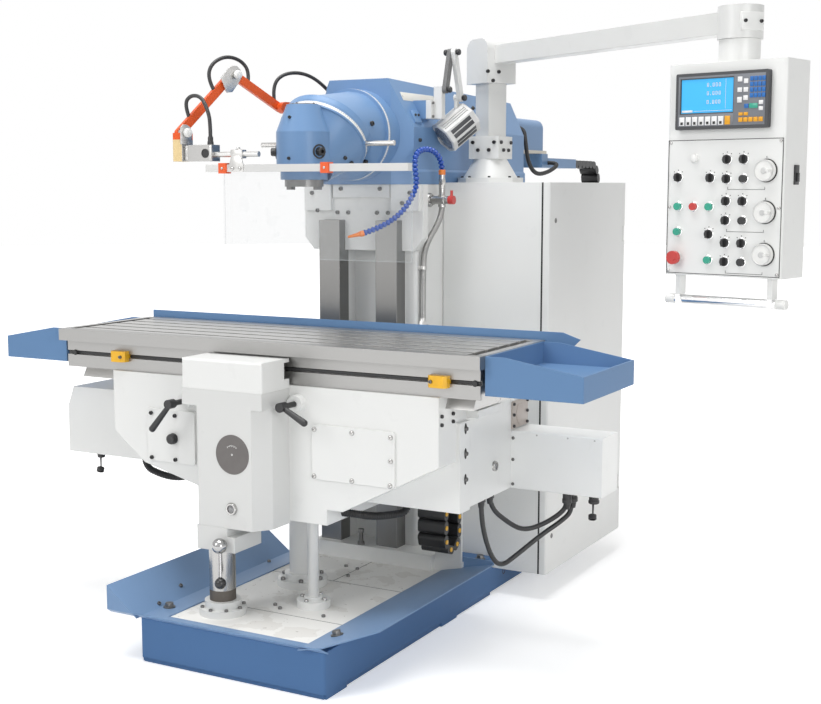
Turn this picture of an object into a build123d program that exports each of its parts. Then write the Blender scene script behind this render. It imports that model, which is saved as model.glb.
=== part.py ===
"""Universal milling machine: fixed column, lifting knee, long table, sliding ram, double-swivel head.

Lengths are in millimetres.  X runs along the table to the right, Y to the back and Z up.
The origin lies on the floor, below the front of the column's ways and in the spindle's plane.
"""
import math
import os

from build123d import *

# Clearances
SHAFT_GAP = 0.05        # radial, turning shafts and screws in their bores
WAY_GAP = 0.3           # between faces that slide or turn on each other
FREE_GAP = 4.0          # around posts and tubes that a moving casting passes
BEND_SHARE = 0.45       # share of the shorter run that a bend may use
RIB_PROFILE = ((0.0, 0), (0.3, 1), (0.7, 1))  # along one rib of a hose: share, on its crest
HOSE_SIDES = 12         # flats round a ribbed hose

# Base and chip tray
BASE_LEFT, BASE_RIGHT = -262.0, 426.0
BASE_FRONT, BASE_STEP, BASE_BACK = -913.0, 252.0, 920.0
BASE_CORNER = 12.0
DECK = 145.0
PLINTH_H, PLINTH_INSET = 15.0, 8.0
FOOT_W, FOOT_L, FOOT_MID = 90.0, 115.0, -104.0
ANCHOR_X, ANCHOR_Y, ANCHOR_R = (-236.0, 400.0), (-798.0, 196.0), 11.0
TRAY_SHEET = 4.0
TRAY_OPEN_LEFT, TRAY_OPEN_RIGHT, TRAY_OPEN_FRONT = -180.0, 345.0, -872.0
TRAY_BACK, TRAY_WALL_H = 15.0, 58.0
TRAY_LEFT_RUN, TRAY_LEFT_RISE, TRAY_LEFT_END = 119.0, 88.0, -60.0
TRAY_FRONT_RUN, TRAY_FRONT_RISE = 17.0, 13.0
TRAY_EDGE, TRAY_EDGE_RISE = 540.0, 43.0
TRAY_CUT_X, TRAY_CUT_Y = 112.0, 145.0

# Column
COLUMN_HALF, COLUMN_FRONT, COLUMN_BACK = 208.0, 64.0, 900.0
COLUMN_CORNER = 16.0
RAM_BED = 1505.0
WAY_IN, WAY_OUT, WAY_FOOT, WAY_TOP = 75.0, 160.0, 200.0, RAM_BED - 127.0
CHANNEL_DEPTH = 46.0
COLUMN_FOOT_LEFT, COLUMN_FOOT_RIGHT, COLUMN_FOOT_Y = -178.0, 313.0, -26.0
LEDGE_RIGHT, LEDGE_H, CHAIN_PLATE_T = 424.0, 40.0, 8.0
HEAD_HALF, HEAD_FRONT, HEAD_DEPTH = 245.0, 40.0, 36.0
HEAD_LOW, HEAD_FLARE = RAM_BED - 189.0, 45.0
BED_PLATE_HALF, BED_PLATE_H, BED_PLATE_T = 118.0, 47.0, 12.0
GIB_IN, GIB_OUT, GIB_LOW, GIB_T = 124.0, 236.0, RAM_BED - 93.0, 18.0

# Ram screw in the column's bed
Y_SCREW_R, Y_SCREW_Z = 20.0, RAM_BED - 35.0
BED_SLOT_HALF, BED_SLOT_DEPTH, BED_WALL = 58.0, 68.0, 24.0
Y_NUT_HALF, Y_NUT_Y, Y_NUT_L = 42.0, 700.0, 70.0
Y_COLLAR_R, Y_COLLAR_T = 32.0, 14.0

# Posts and tubes that stand on the base
POST_R, POST_X, POST_Y, POST_TOP = 42.0, -60.0, -746.0, 700.0
POST_STEPS = ((75.0, 22.0), (58.0, 24.0))
TUBE_R, TUBE_BORE, TUBE_X, TUBE_Y, TUBE_TOP = 43.0, 31.0, -10.0, -362.0, 560.0
TUBE_STEPS = ((86.0, 24.0), (60.0, 20.0))
TUBE_NUT_L = 40.0
GUIDE_R, GUIDE_X, GUIDE_Y, GUIDE_TOP = 18.5, 160.0, -555.0, 560.0
GUIDE_FLANGE_R, GUIDE_FLANGE_H = 52.0, 36.0

# Knee
KNEE_LEFT, KNEE_RIGHT, KNEE_FRONT, KNEE_BACK = -569.0, 668.0, -656.0, -200.0
KNEE_TOP = 882.7
KNEE_LEFT_LOW, KNEE_RIGHT_LOW = 677.0, 672.0
KNEE_BELLY_LEFT, KNEE_BELLY_MID = (-442.0, 580.0), (-175.0, 512.0)
KNEE_STEP, KNEE_STEP_UP = (278.0, 450.0), (335.0, 500.0)
KNEE_SADDLE_HALF, KNEE_SADDLE_LOW = 205.0, 440.0
KNEE_JAW_BACK, KNEE_SADDLE_TOP, KNEE_BOX_BACK = 58.0, 868.0, -142.0
KNEE_WING_LOW, KNEE_WING_TOP, KNEE_WING_BACK = 510.0, 800.0, -6.0
SHELF_OUT, SHELF_Y, SHELF_Z = 40.0, (-470.0, -300.0), (796.0, 820.0)
RIB_FRONT, RIB_BACK, RIB_T = -542.0, -473.0, 14.0
RIB_TOP, GUIDE_BORE_TOP = 790.0, 720.0
Z_SCREW_R, Z_SCREW_LOW, Z_SCREW_TOP, Z_BEARING_LOW = 25.0, 290.0, 826.0, 796.0
LEVER_BOSS_LEFT, LEVER_BOSS_RIGHT = (-250.0, 806.0), (180.0, 830.0)
LEVER_BOSS_R, LEVER_BOSS_L = 27.0, 30.0
LEVER_SHAFT_R, LEVER_SHAFT_IN, LEVER_HUB_R, LEVER_HUB_L = 9.0, 24.0, 15.0, 30.0
LEVER_REACH = 52.0
LEVER_LEFT_RUN, LEVER_LEFT_DROP = -76.0, -87.0
LEVER_RIGHT_RUN, LEVER_RIGHT_DROP = 80.0, -42.0
LEVER_GRIP_R, LEVER_TIP_R = 8.0, 11.0

# Front housing, its clamp and the covers
HOUSING_LEFT, HOUSING_RIGHT, HOUSING_SIDE = -103.0, 102.0, 140.0
HOUSING_FRONT, HOUSING_CUT_Y = -807.0, -748.0
HOUSING_LOW, HOUSING_TOP = 442.0, 875.0
EAR_LEFT, EAR_RIGHT, EAR_LOW = -160.0, 143.0, 821.0
HOUSING_BORE_TOP = 838.0
CLAMP_LEFT, CLAMP_RIGHT, CLAMP_LOW, CLAMP_BACK = -110.0, 34.0, 365.0, -664.0
CLAMP_NOTCH = 28.0
COVER_TOP, COVER_EDGE = 968.0, 8.0
DOG_PATH_Y, DOG_PATH_LOW, DOG_PATH_HIGH = -684.0, 904.0, 956.0
PLATE_T = 8.0
PLATE_RIGHT_X, PLATE_RIGHT_Z = (229.0, 523.0), (595.0, 768.0)
PLATE_LEFT_X, PLATE_LEFT_Z = (-421.0, -225.0), (591.0, 768.0)
KNOB_X, KNOB_Z, KNOB_R, KNOB_L = -312.0, 673.0, 13.0, 18.0
BALL_X, BALL_Z, BALL_R, BALL_SHAFT_R, BALL_SHAFT_IN = -5.0, 391.0, 24.0, 10.0, 40.0
BALL_OUT = 26.0
BALL_ROD_R, BALL_ROD_X, BALL_ROD_Y, BALL_ROD_Z = 6.0, 16.0, -20.0, -112.0
BALL_KNOB_R = 18.0

# Drive boxes on the knee's ends
BOX_RIGHT_X, BOX_RIGHT_Y, BOX_RIGHT_Z = (668.0, 986.0), (-138.0, 5.0), (508.0, 702.0)
BOX_LEFT_X, BOX_LEFT_Y, BOX_LEFT_Z = (-922.0, -569.0), (-500.0, -250.0), (545.0, 784.0)
BOX_LEFT_CUT_X, BOX_LEFT_CUT_Z = 28.0, 71.0
BOX_EDGE = 5.0

# Table
TABLE_LEFT, TABLE_RIGHT, TABLE_FRONT, TABLE_BACK = -790.0, 810.0, -676.0, -196.0
TABLE_TOP, SLAB_T, TABLE_UNDER = 1015.0, 40.0, 883.0
BODY_SIDE, BODY_FRONT, BODY_BACK = 12.0, -646.0, -222.0
TEE_COUNT, TEE_PITCH, TEE_NECK, TEE_NECK_H, TEE_HEAD, TEE_HEAD_H = 5, 80.0, 18.0, 20.0, 30.0, 14.0
TROUGH_INSET, TROUGH_W, TROUGH_DEPTH, TROUGH_MARGIN = 26.0, 30.0, 24.0, 30.0
DOG_GROOVE_Z, DOG_GROOVE_W, DOG_GROOVE_DEPTH = 932.0, 14.0, 12.0
DOVETAIL_LEFT, DOVETAIL_RIGHT, DOVETAIL_LOW = -742.0, 760.0, 845.0
DOVETAIL_TOP_HALF, DOVETAIL_LOW_HALF, TABLE_MID = 155.0, 177.0, -436.0
X_SCREW_R, X_SCREW_Z = 16.0, 864.0
X_SLOT_HALF, X_SLOT_TOP, X_WALL = 34.0, 890.0, 20.0
X_NUT_HALF, X_NUT_X, X_NUT_L, X_NUT_TOP = 31.0, 40.0, 60.0, 886.0
DOG_LEFT, DOG_RIGHT, DOG_L, DOG_H, DOG_OUT = -539.0, 668.0, 62.0, 36.0, 28.0
DOG_FIT, DOG_CHAMFER = 0.4, 9.0
GUARD_T, GUARD_FACE, GUARD_LOW, GUARD_TOP = 4.0, -180.0, 905.0, 1040.0
GUARD_LEFT, GUARD_RIGHT, GUARD_END_DROP, GUARD_END_RUN = -781.0, 924.0, 40.0, 60.0
FLANGE_LOW, FLANGE_HIGH = 980.0, 992.0
PAN_SHEET, PAN_FRONT, PAN_BACK, PAN_LOW = 5.0, -640.0, -218.0, 897.0
PAN_RIGHT_END, PAN_LEFT_END, PAN_HIGH, PAN_END_HIGH, PAN_FLAT = 1113.0, -1067.0, 1012.0, 972.0, 60.0
PAN_FLOOR = 945.0

# Ram
RAM_HALF, RAM_WAIST, RAM_ROOF_HALF = 205.0, 198.0, 120.0
RAM_FLANGE_H, RAM_STEP = 45.0, 8.0
RAM_SHOULDER, RAM_ROOF, RAM_ROOF_BACK = RAM_BED + 200.0, RAM_BED + 367.0, RAM_BED + 333.0
RAM_FRONT, RAM_CORNER, RAM_BACK, RAM_NOSE_HALF = 14.0, 61.0, 1010.0, 130.0
MOTOR_HALF, MOTOR_END, MOTOR_LOW, MOTOR_HIGH = 110.0, 1419.0, RAM_BED + 148.0, RAM_BED + 283.0
MOTOR_ROUND = 38.0
SHELF_HALF, SHELF_T = 128.0, 13.0
CABLE_BOX_X, CABLE_BOX_Y = (42.0, 134.0), (1354.0, 1757.0)
CABLE_BOX_Z = (RAM_BED + 75.0, RAM_BED + 117.0)

# Head
SWIVEL_Z, SWIVEL_Y, SWIVEL_R, SWIVEL_RING = RAM_BED + 172.0, -32.0, 158.0, 22.0
SWIVEL_BODY_R = 148.0
TILT_Y, TILT_Z, TILT_R, TILT_RING = -209.0, RAM_BED + 169.0, 155.0, 24.0
TILT_BODY_R, TILT_CONE_R, TILT_CONE_L = 148.0, 84.0, 132.0
HEAD_TRIM_R, HEAD_TRIM_L = 450.0, 300.0
PIVOT_R, PIVOT_L = 60.0, 40.0
NOSE_Y, NOSE_R, NOSE_TOP_R = -341.0, 91.0, 56.0
NOSE_LOW, NOSE_SHOULDER, NOSE_TOP = RAM_BED + 45.0, RAM_BED + 171.0, RAM_BED + 260.0
CAP_R, CAP_LOW = 78.0, RAM_BED + 15.0
SPINDLE_R, SPINDLE_TOP = 45.0, RAM_BED + 239.0
NOSE_FACE, NOSE_DIA = RAM_BED - 8.0, 128.57
TAPER_DIA, TAPER_DEPTH, TAPER_RATE, DRAWBAR_R = 69.85, 102.0, 7.0 / 24.0, 13.0
DRIVE_KEY_W, DRIVE_KEY_IN, DRIVE_KEY_FAR, DRIVE_KEY_OUT = 25.4, 44.0, 62.0, 10.0
NOSE_PCD, NOSE_HOLES, NOSE_HOLE_R, NOSE_HOLE_L = 101.6, 4, 7.0, 18.0
TURN_BAR_Y, TURN_BAR_Z, TURN_BAR_R = -200.0, RAM_BED + 136.0, 9.0
TURN_BAR_IN, TURN_BAR_END = 120.0, 265.0

# Guard over the table
SHOULDER = (-245.0, -110.0, RAM_BED + 268.0)
ELBOW = (-299.0, -307.0, RAM_BED + 371.0)
WRIST = (-357.0, -522.0, RAM_BED + 169.0)
GUARD_BAR_W, GUARD_BAR_T, GUARD_PIN_R = 30.0, 14.0, 7.0
BRACKET_L, BRACKET_W, BRACKET_T = 240.0, 40.0, 26.0
BRACKET_PAD_X, BRACKET_PAD_Y = (-215.0, -140.0), (66.0, 150.0)
BRACKET_PAD_Z = (RAM_BED + 243.0, RAM_BED + 295.0)
RAIL_Y, RAIL_Z, RAIL_H, RAIL_LEFT, RAIL_RIGHT = -500.0, RAM_BED + 52.0, 24.0, -275.0, 487.0
ROD_Z, ROD_R, ROD_LEFT, ROD_RIGHT = RAM_BED + 97.0, 9.0, -318.0, -69.0
HANGER_X, HANGER_W, HANGER_T = -150.0, 24.0, 12.0
SWITCH_LEFT, SWITCH_RIGHT, SWITCH_HALF = -352.0, -241.0, 22.0
SWITCH_LOW, SWITCH_HIGH = RAM_BED + 75.0, RAM_BED + 129.0
SWITCH_ARM_W = 32.0
SCREEN_T, SCREEN_LOW, SCREEN_BEND, WING_BACK = 5.0, RAM_BED - 239.0, -195.0, 70.0
RAIL_BLOCKS, RAIL_BLOCK_W, RAIL_BLOCK_H = (-205.0, 190.0), 30.0, 34.0

# Work lamp
LAMP_X, LAMP_PIVOT = 268.0, (163.0, RAM_BED + 331.0)
LAMP_TOP, LAMP_END = (200.0, RAM_BED + 463.0), (250.0, RAM_BED + 307.0)
LAMP_BAR_W, LAMP_BAR_T, LAMP_PIN_R = 26.0, 15.0, 5.0
LAMP_PAD_Y, LAMP_PAD_Z, LAMP_PAD_X = (132.0, 194.0), (RAM_BED + 230.0, RAM_BED + 295.0), (140.0, 228.0)
LAMP_BODY_X, LAMP_BODY_Y, LAMP_BODY_Z, LAMP_DROP = 112.0, 118.0, 82.0, 104.0
LAMP_LEAN = -38.0
FIN_COUNT, FIN_GAP, FIN_DEPTH = 8, 7.0, 34.0

# Coolant valve and lines
VALVE_Y, VALVE_Z, VALVE_X = 150.0, RAM_BED - 55.0, COLUMN_HALF + 54.0
VALVE_FLANGE_R, VALVE_FLANGE_T, VALVE_R, VALVE_END = 25.0, 12.0, 14.0, VALVE_X + 28.0
VALVE_LOW, VALVE_HIGH = VALVE_Z - 25.0, VALVE_Z + 95.0
VALVE_PIN_R, VALVE_PIN_L, VALVE_KNOB_R, VALVE_KNOB_L, VALVE_TAB = 5.0, 14.0, 15.0, 20.0, 34.0
CONDUIT_R, CONDUIT_BORE, CONDUIT_DEPTH, CONDUIT_RIBS = 11.0, 8.0, 1.4, 48
CONDUIT_ROUTE = ((VALVE_X, VALVE_Y, VALVE_LOW), (VALVE_X, 146.0, VALVE_LOW - 40.0),
                 (COLUMN_HALF + 16.0, 92.0, VALVE_LOW - 135.0), (COLUMN_HALF + 14.5, 80.0, VALVE_LOW - 225.0),
                 (COLUMN_HALF + 14.5, 80.0, VALVE_LOW - 415.0))
CONDUIT_FOOT_H, CONDUIT_FOOT_W = 34.0, 32.0
COOLANT_R, COOLANT_BORE, COOLANT_DEPTH, COOLANT_RIBS = 10.5, 5.5, 2.2, 40
COOLANT_ROUTE = ((VALVE_X, VALVE_Y, VALVE_HIGH), (VALVE_X, VALVE_Y, VALVE_HIGH + 37.0),
                 (VALVE_X - 8.0, 112.0, VALVE_HIGH + 77.0), (VALVE_X - 26.0, 62.0, VALVE_HIGH + 85.0),
                 (VALVE_X - 33.0, 12.0, VALVE_HIGH + 65.0), (VALVE_X - 28.0, -2.0, VALVE_HIGH + 15.0),
                 (VALVE_X - 21.0, 4.0, VALVE_HIGH - 35.0), (VALVE_X - 31.0, -14.0, VALVE_HIGH - 85.0),
                 (VALVE_X - 57.0, -48.0, VALVE_HIGH - 141.0), (VALVE_X - 102.0, -110.0, VALVE_HIGH - 187.0),
                 (VALVE_X - 143.0, -160.0, VALVE_HIGH - 206.0))
NOZZLE_END, NOZZLE_R, NOZZLE_BORE = (VALVE_X - 182.0, -195.0, VALVE_HIGH - 218.0), 4.0, 2.0

# Cabinet, pedestal and arm
CABINET_RIGHT, CABINET_FRONT, CABINET_BACK, CABINET_LOW, CABINET_TOP = 631.0, 260.0, 1047.0, 100.0, 1512.0
CABINET_EDGE, CABINET_WALL = 8.0, 30.0
DOOR_T, DOOR_GAP, DOOR_FRAME, DOOR_FRAME_T = 26.0, 0.8, 45.0, 20.0
HINGE_Z = (CABINET_LOW + 200.0, CABINET_TOP - 200.0)
HINGE_L, HINGE_R, HINGE_KNUCKLE_R, HINGE_STRAP = 60.0, 5.0, 11.0, 12.0
STAND_X, STAND_Y = 322.0, 425.0
STAND_PLATE_SIDES, STAND_PLATE_R, STAND_PLATE_T = 8, 112.0, 18.0
STAND_DOME_R, STAND_DOME_TOP = 100.0, CABINET_TOP + 86.0
STAND_BLOCK, STAND_TOP, STAND_BORE_R, STAND_BORE_L = 120.0, CABINET_TOP + 168.0, 28.0, 80.0
MAST, MAST_TOP, ELBOW_TOP, ELBOW_SIZE, ELBOW_ROUND = 80.0, STAND_TOP + 190.0, STAND_TOP + 350.0, 128.0, 40.0
ARM_LENGTH, ARM_ANGLE, ARM_Z, ARM_H, ARM_W = 1211.0, -28.24, STAND_TOP + 292.0, 64.0, 62.0
HUB_R, HUB_LOW, HUB_TOP, HUB_PIN_R, HUB_PIN_L = 66.0, ARM_Z - 51.0, ARM_Z + 44.0, 22.0, 40.0

# Control pendant, in its own frame: X to its right, Y to its back, Z up from its top
PENDANT_YAW, PENDANT_TOP = -13.5, HUB_LOW - 66.0
PENDANT_W, PENDANT_H, PENDANT_D, PENDANT_EDGE, NECK_R = 378.0, 620.0, 146.0, 10.0, 60.0
DRO_X, DRO_Z, DRO_OUT, DRO_EDGE = (-153.0, 143.0), (-192.0, -30.0), 20.0, 5.0
SCREEN_X, SCREEN_Z, SCREEN_DEEP = (-136.0, 34.0), (-145.0, -47.0), 4.0
HANDLE_Z, HANDLE_Y, HANDLE_R, HANDLE_HALF = -694.0, -44.0, 14.0, 196.0
HANDLE_ARM_X, HANDLE_ARM_T, HANDLE_ARM_D = 150.0, 16.0, 34.0
BUTTON_R, BUTTON_IN, BUTTON_OUT = 11.0, 16.0, 12.0
MUSHROOM_R, MUSHROOM_T, MUSHROOM_STROKE = 20.0, 14.0, 6.0
START_AT, FEED_AT, CLAMP_AT, COOLANT_AT = (-147.0, -416.0), (-43.0, -416.0), (-147.0, -491.0), (-43.0, -572.0)
STOP_AT, EMERGENCY_AT = (-95.0, -416.0), (-150.0, -568.0)
JOG_AT = ((65.0, -335.0), (65.0, -455.0), (65.0, -575.0))
WHEEL_AT = ((135.0, -312.0), (135.0, -430.0), (135.0, -550.0))
SELECTOR_AT = ((-150.0, -330.0), (-43.0, -332.0), (10.0, -279.0), (63.0, -279.0), (10.0, -335.0),
               (10.0, -399.0), (63.0, -399.0), (10.0, -455.0), (-43.0, -496.0), (10.0, -520.0),
               (63.0, -520.0), (10.0, -575.0))
SELECTOR_R, SELECTOR_T, SELECTOR_BAR, SELECTOR_BAR_W, SELECTOR_BAR_T = 13.0, 7.0, 22.0, 6.0, 13.0
WHEEL_R, WHEEL_T, WHEEL_OFF, WHEEL_SHAFT_R, WHEEL_SHAFT_L = 31.0, 13.0, 4.0, 5.0, 16.0
CRANK_R, CRANK_L, CRANK_AT = 5.0, 22.0, 21.0

# Energy chains and loose lines
LINK_GAP, STUD_R, STUD_OUT = 0.7, 8.0, 2.5
KNEE_CHAIN_X, KNEE_CHAIN_Y, KNEE_CHAIN_R = (318.0, 422.0), -120.0, 50.0
KNEE_CHAIN_T, KNEE_CHAIN_LINKS, KNEE_CHAIN_BEND, KNEE_CHAIN_END = 30.0, 10, 300.0, 430.0
RAM_CHAIN_X, RAM_CHAIN_R, RAM_CHAIN_T, RAM_CHAIN_LINKS = (46.0, 130.0), 80.0, 34.0, 34
RAM_CHAIN_BEND = 1990.0
RAM_HOSE_R = 9.0
RAM_HOSE_ROUTE = ((110.0, 1075.0, RAM_BED + 240.0), (168.0, 1075.0, RAM_BED + 240.0),
                  (186.0, 1056.0, RAM_BED + 175.0), (190.0, 1074.0, RAM_BED + 90.0),
                  (190.0, 1160.0, RAM_BED + 40.0), (190.0, 1315.0, RAM_BED + 57.0),
                  (190.0, 1424.0, RAM_BED + 96.0), (134.0, 1424.0, RAM_BED + 96.0))
CABLE_R = 8.0
CABLE_LONG = ((655.0, -335.0, 510.0), (655.0, -335.0, 440.0), (664.0, -290.0, 322.0), (682.0, -245.0, 268.0),
              (716.0, -190.0, 300.0), (775.0, -130.0, 360.0), (830.0, -75.0, 405.0), (858.0, -60.0, 440.0),
              (858.0, -60.0, 508.0))
CABLE_SHORT = ((655.0, -270.0, 510.0), (655.0, -270.0, 470.0), (692.0, -205.0, 408.0), (728.0, -165.0, 378.0),
               (775.0, -120.0, 392.0), (828.0, -92.0, 430.0), (850.0, -90.0, 462.0), (850.0, -90.0, 508.0))
BELLOWS_R, BELLOWS_BORE, BELLOWS_DEPTH = 13.0, 8.0, 2.0
BELLOWS_RIGHT = ((278.0, -560.0, 472.0), (322.0, -560.0, 472.0), (362.0, -505.0, 456.0),
                 (405.0, -450.0, 456.0), (436.0, -420.0, 462.0), (436.0, -420.0, 510.0))
BELLOWS_RIGHT_RIBS = 28
BELLOWS_LEFT = ((-640.0, -420.0, 545.0), (-640.0, -420.0, 500.0), (-590.0, -400.0, 474.0),
                (-540.0, -380.0, 462.0), (-480.0, -370.0, 472.0), (-442.34, -370.0, 528.5),
                (-430.0, -370.0, 576.94))
BELLOWS_LEFT_RIBS = 30

HUB_X = STAND_X + ARM_LENGTH * math.cos(math.radians(ARM_ANGLE))
HUB_Y = STAND_Y + ARM_LENGTH * math.sin(math.radians(ARM_ANGLE))
PENDANT_AT = Pos(HUB_X, HUB_Y, PENDANT_TOP) * Rot(0, 0, PENDANT_YAW)
ARM_AT = Pos(STAND_X, STAND_Y, 0) * Rot(0, 0, ARM_ANGLE)
PANEL = -PENDANT_D / 2
LEDGE_FRONT = KNEE_CHAIN_Y + 2 * KNEE_CHAIN_R + KNEE_CHAIN_T / 2 + LINK_GAP
RAM_CHAIN_HIGH = sum(CABLE_BOX_Z) / 2
RAM_CHAIN_LOW = RAM_CHAIN_HIGH - 2 * RAM_CHAIN_R
TILT_AXIS = Vector(0, -1, -1).normalized()
SWIVEL_CENTRE = Vector(0, SWIVEL_Y, SWIVEL_Z)
TILT_CENTRE = Vector(0, TILT_Y, TILT_Z)
GUARD_RUN = (Vector(WRIST[0], WRIST[1], 0) - Vector(SHOULDER[0], SHOULDER[1], 0)).normalized()
GUARD_AXIS = Vector(GUARD_RUN.Y, -GUARD_RUN.X, 0)


def block(x, y, z):
    """A box between two limits along each axis."""
    centre = Pos((x[0] + x[1]) / 2, (y[0] + y[1]) / 2, (z[0] + z[1]) / 2)
    return centre * Box(x[1] - x[0], y[1] - y[0], z[1] - z[0])


def span(middle, size):
    """Limits of a size centred on a middle."""
    return middle - size / 2, middle + size / 2


def rod(start, end, radius, end_radius=None):
    """A round bar or a taper between two points."""
    start, end = Vector(start), Vector(end)
    plane = Plane(start, z_dir=end - start)
    length = (end - start).length
    if end_radius is None:
        return Part(Solid.make_cylinder(radius, length, plane).wrapped)
    return Part(Solid.make_cone(radius, end_radius, length, plane).wrapped)


def ball(centre, radius):
    """A sphere round a point."""
    return Pos(*centre) * Sphere(radius)


def front_prism(points, y):
    """An X-Z outline carried along Y."""
    outline = Plane.XZ.offset(-y[0]) * make_face(Polyline(*points, close=True))
    return extrude(outline, y[0] - y[1])


def side_prism(points, x):
    """A Y-Z outline carried along X."""
    outline = Plane.YZ.offset(x[0]) * make_face(Polyline(*points, close=True))
    return extrude(outline, x[1] - x[0])


def plan_prism(points, z):
    """An X-Y outline carried up along Z."""
    outline = Plane.XY.offset(z[0]) * make_face(Polyline(*points, close=True))
    return extrude(outline, z[1] - z[0])


def link(start, end, width, thick, axis, offset):
    """A bar with round ends, its flat faces square to an axis."""
    start, end, axis = Vector(start), Vector(end), Vector(axis)
    middle = (start + end) / 2 + axis * offset
    plane = Plane(middle, x_dir=end - start, z_dir=axis)
    return extrude(plane * SlotCenterToCenter((end - start).length, width), thick)


def route_path(name, points):
    """Straight runs joined by tangent bends, as wide as the runs allow."""
    radii = []
    for before, corner, after in zip(points, points[1:], points[2:]):
        run_in = Vector(corner) - Vector(before)
        run_out = Vector(after) - Vector(corner)
        half_turn = math.radians(run_in.get_angle(run_out)) / 2
        radii.append(BEND_SHARE * min(run_in.length, run_out.length) / math.tan(half_turn))
    print(name, "bend radii mm:", [round(radius, 1) for radius in radii])
    return FilletPolyline(*points, radius=radii)


def tube(name, points, radius):
    """A smooth cable along a route."""
    path = route_path(name, points)
    return sweep(Plane(path @ 0, z_dir=path % 0) * Circle(radius), path=path)


def ribbed(name, points, radius, bore, depth, ribs, side):
    """A hose with ribs and a bore, lofted through rings along a route."""
    path = route_path(name, points)

    def ring(share, ring_radius):
        along = path % share
        across = Vector(side) - along * along.dot(Vector(side))
        return Plane(path @ share, x_dir=across, z_dir=along) * RegularPolygon(ring_radius, HOSE_SIDES)

    root = radius - depth
    outer = [ring((rib + at) / ribs, root + crest * depth)
             for rib in range(ribs) for at, crest in RIB_PROFILE]
    outer.append(ring(1.0, root))
    inner = [ring(rib / ribs, bore) for rib in range(ribs + 1)]
    return loft(outer, ruled=True) - loft(inner, ruled=True)


def save(name, *pieces):
    """Write one node; a group of pieces stays a group of solids."""
    solids = [solid for piece in pieces for solid in piece.solids()]
    export_step(solids[0] if len(solids) == 1 else Compound(solids), f"parts/{name}.step")


# Base group

def base_casting():
    body = block((BASE_LEFT, BASE_RIGHT), (BASE_FRONT, BASE_STEP), (PLINTH_H, DECK))
    body = fillet(body.edges().filter_by(Axis.Z), BASE_CORNER)
    rear = (BASE_STEP - BASE_CORNER, BASE_BACK)
    body += block((-COLUMN_HALF, COLUMN_HALF), rear, (PLINTH_H, DECK))
    body += block((COLUMN_HALF, BASE_RIGHT), rear, (PLINTH_H, CABINET_LOW))
    inset = PLINTH_INSET
    body += block((BASE_LEFT + inset, BASE_RIGHT - inset), (BASE_FRONT + inset, BASE_STEP - inset),
                  (0, PLINTH_H))
    body += block((inset - COLUMN_HALF, COLUMN_HALF - inset), (BASE_STEP - FOOT_L, BASE_BACK - inset),
                  (0, PLINTH_H))
    for x in (BASE_LEFT, BASE_RIGHT - FOOT_W):
        for y in (BASE_FRONT + BASE_CORNER, FOOT_MID - FOOT_L / 2):
            body += block((x, x + FOOT_W), (y, y + FOOT_L), (0, PLINTH_H))
    for x in ANCHOR_X:
        for y in ANCHOR_Y:
            body -= rod((x, y, 0), (x, y, DECK), ANCHOR_R)
    return body


def slope(start, run, rise):
    """The outline of a sloped sheet that starts at the deck: across, up."""
    end = start + run
    return ((start, DECK), (end, DECK + rise), (end, DECK + rise + TRAY_SHEET), (start, DECK + TRAY_SHEET))


def chip_tray():
    low = DECK + TRAY_SHEET
    left, front = BASE_LEFT - TRAY_LEFT_RUN, BASE_FRONT - TRAY_FRONT_RUN
    tray = block((BASE_LEFT, TRAY_OPEN_RIGHT), (BASE_FRONT, TRAY_BACK), (DECK, low))
    tray -= block((TRAY_OPEN_LEFT, TRAY_OPEN_RIGHT), (TRAY_OPEN_FRONT, TRAY_BACK), (DECK, low))
    tray += front_prism(slope(BASE_LEFT, -TRAY_LEFT_RUN, TRAY_LEFT_RISE), (front, TRAY_LEFT_END))
    tray += side_prism(slope(BASE_FRONT, -TRAY_FRONT_RUN, TRAY_FRONT_RISE), (left, TRAY_EDGE))
    edge_run = TRAY_EDGE - TRAY_OPEN_RIGHT
    tray += front_prism(slope(TRAY_OPEN_RIGHT, edge_run, TRAY_EDGE_RISE), (front, TRAY_BACK))
    rim = DECK + TRAY_FRONT_RISE
    cheek = ((BASE_LEFT - TRAY_LEFT_RUN * TRAY_FRONT_RISE / TRAY_LEFT_RISE, rim),
             (left, DECK + TRAY_LEFT_RISE), (left, rim))
    tray += front_prism(cheek, (front, front + TRAY_SHEET))
    wall = ((TRAY_OPEN_RIGHT, DECK), (TRAY_EDGE, DECK + TRAY_EDGE_RISE), (TRAY_EDGE, DECK + TRAY_WALL_H),
            (TRAY_OPEN_RIGHT, DECK + TRAY_WALL_H))
    tray += front_prism(wall, (TRAY_BACK - TRAY_SHEET, TRAY_BACK))
    corner = ((TRAY_EDGE - TRAY_CUT_X, front), (TRAY_EDGE, front), (TRAY_EDGE, front + TRAY_CUT_Y))
    tray -= plan_prism(corner, (DECK, DECK + TRAY_WALL_H))
    for x in ANCHOR_X:
        for y in ANCHOR_Y:
            tray -= rod((x, y, DECK), (x, y, DECK + TRAY_WALL_H), ANCHOR_R)
    tray -= block((COLUMN_FOOT_LEFT, COLUMN_FOOT_RIGHT), (COLUMN_FOOT_Y, TRAY_BACK), (DECK, low))
    return tray - block((COLUMN_FOOT_RIGHT, LEDGE_RIGHT), (LEDGE_FRONT, TRAY_BACK - TRAY_SHEET),
                        (DECK, DECK + LEDGE_H))


def stepped_flange(x, y, steps):
    """Round steps of a flange that stands on the deck."""
    level, flange = DECK, None
    for radius, height in steps:
        step = rod((x, y, level), (x, y, level + height), radius)
        flange = step if flange is None else flange + step
        level += height
    return flange


def support_post():
    post = rod((POST_X, POST_Y, DECK), (POST_X, POST_Y, POST_TOP), POST_R)
    return post + stepped_flange(POST_X, POST_Y, POST_STEPS)


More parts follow.
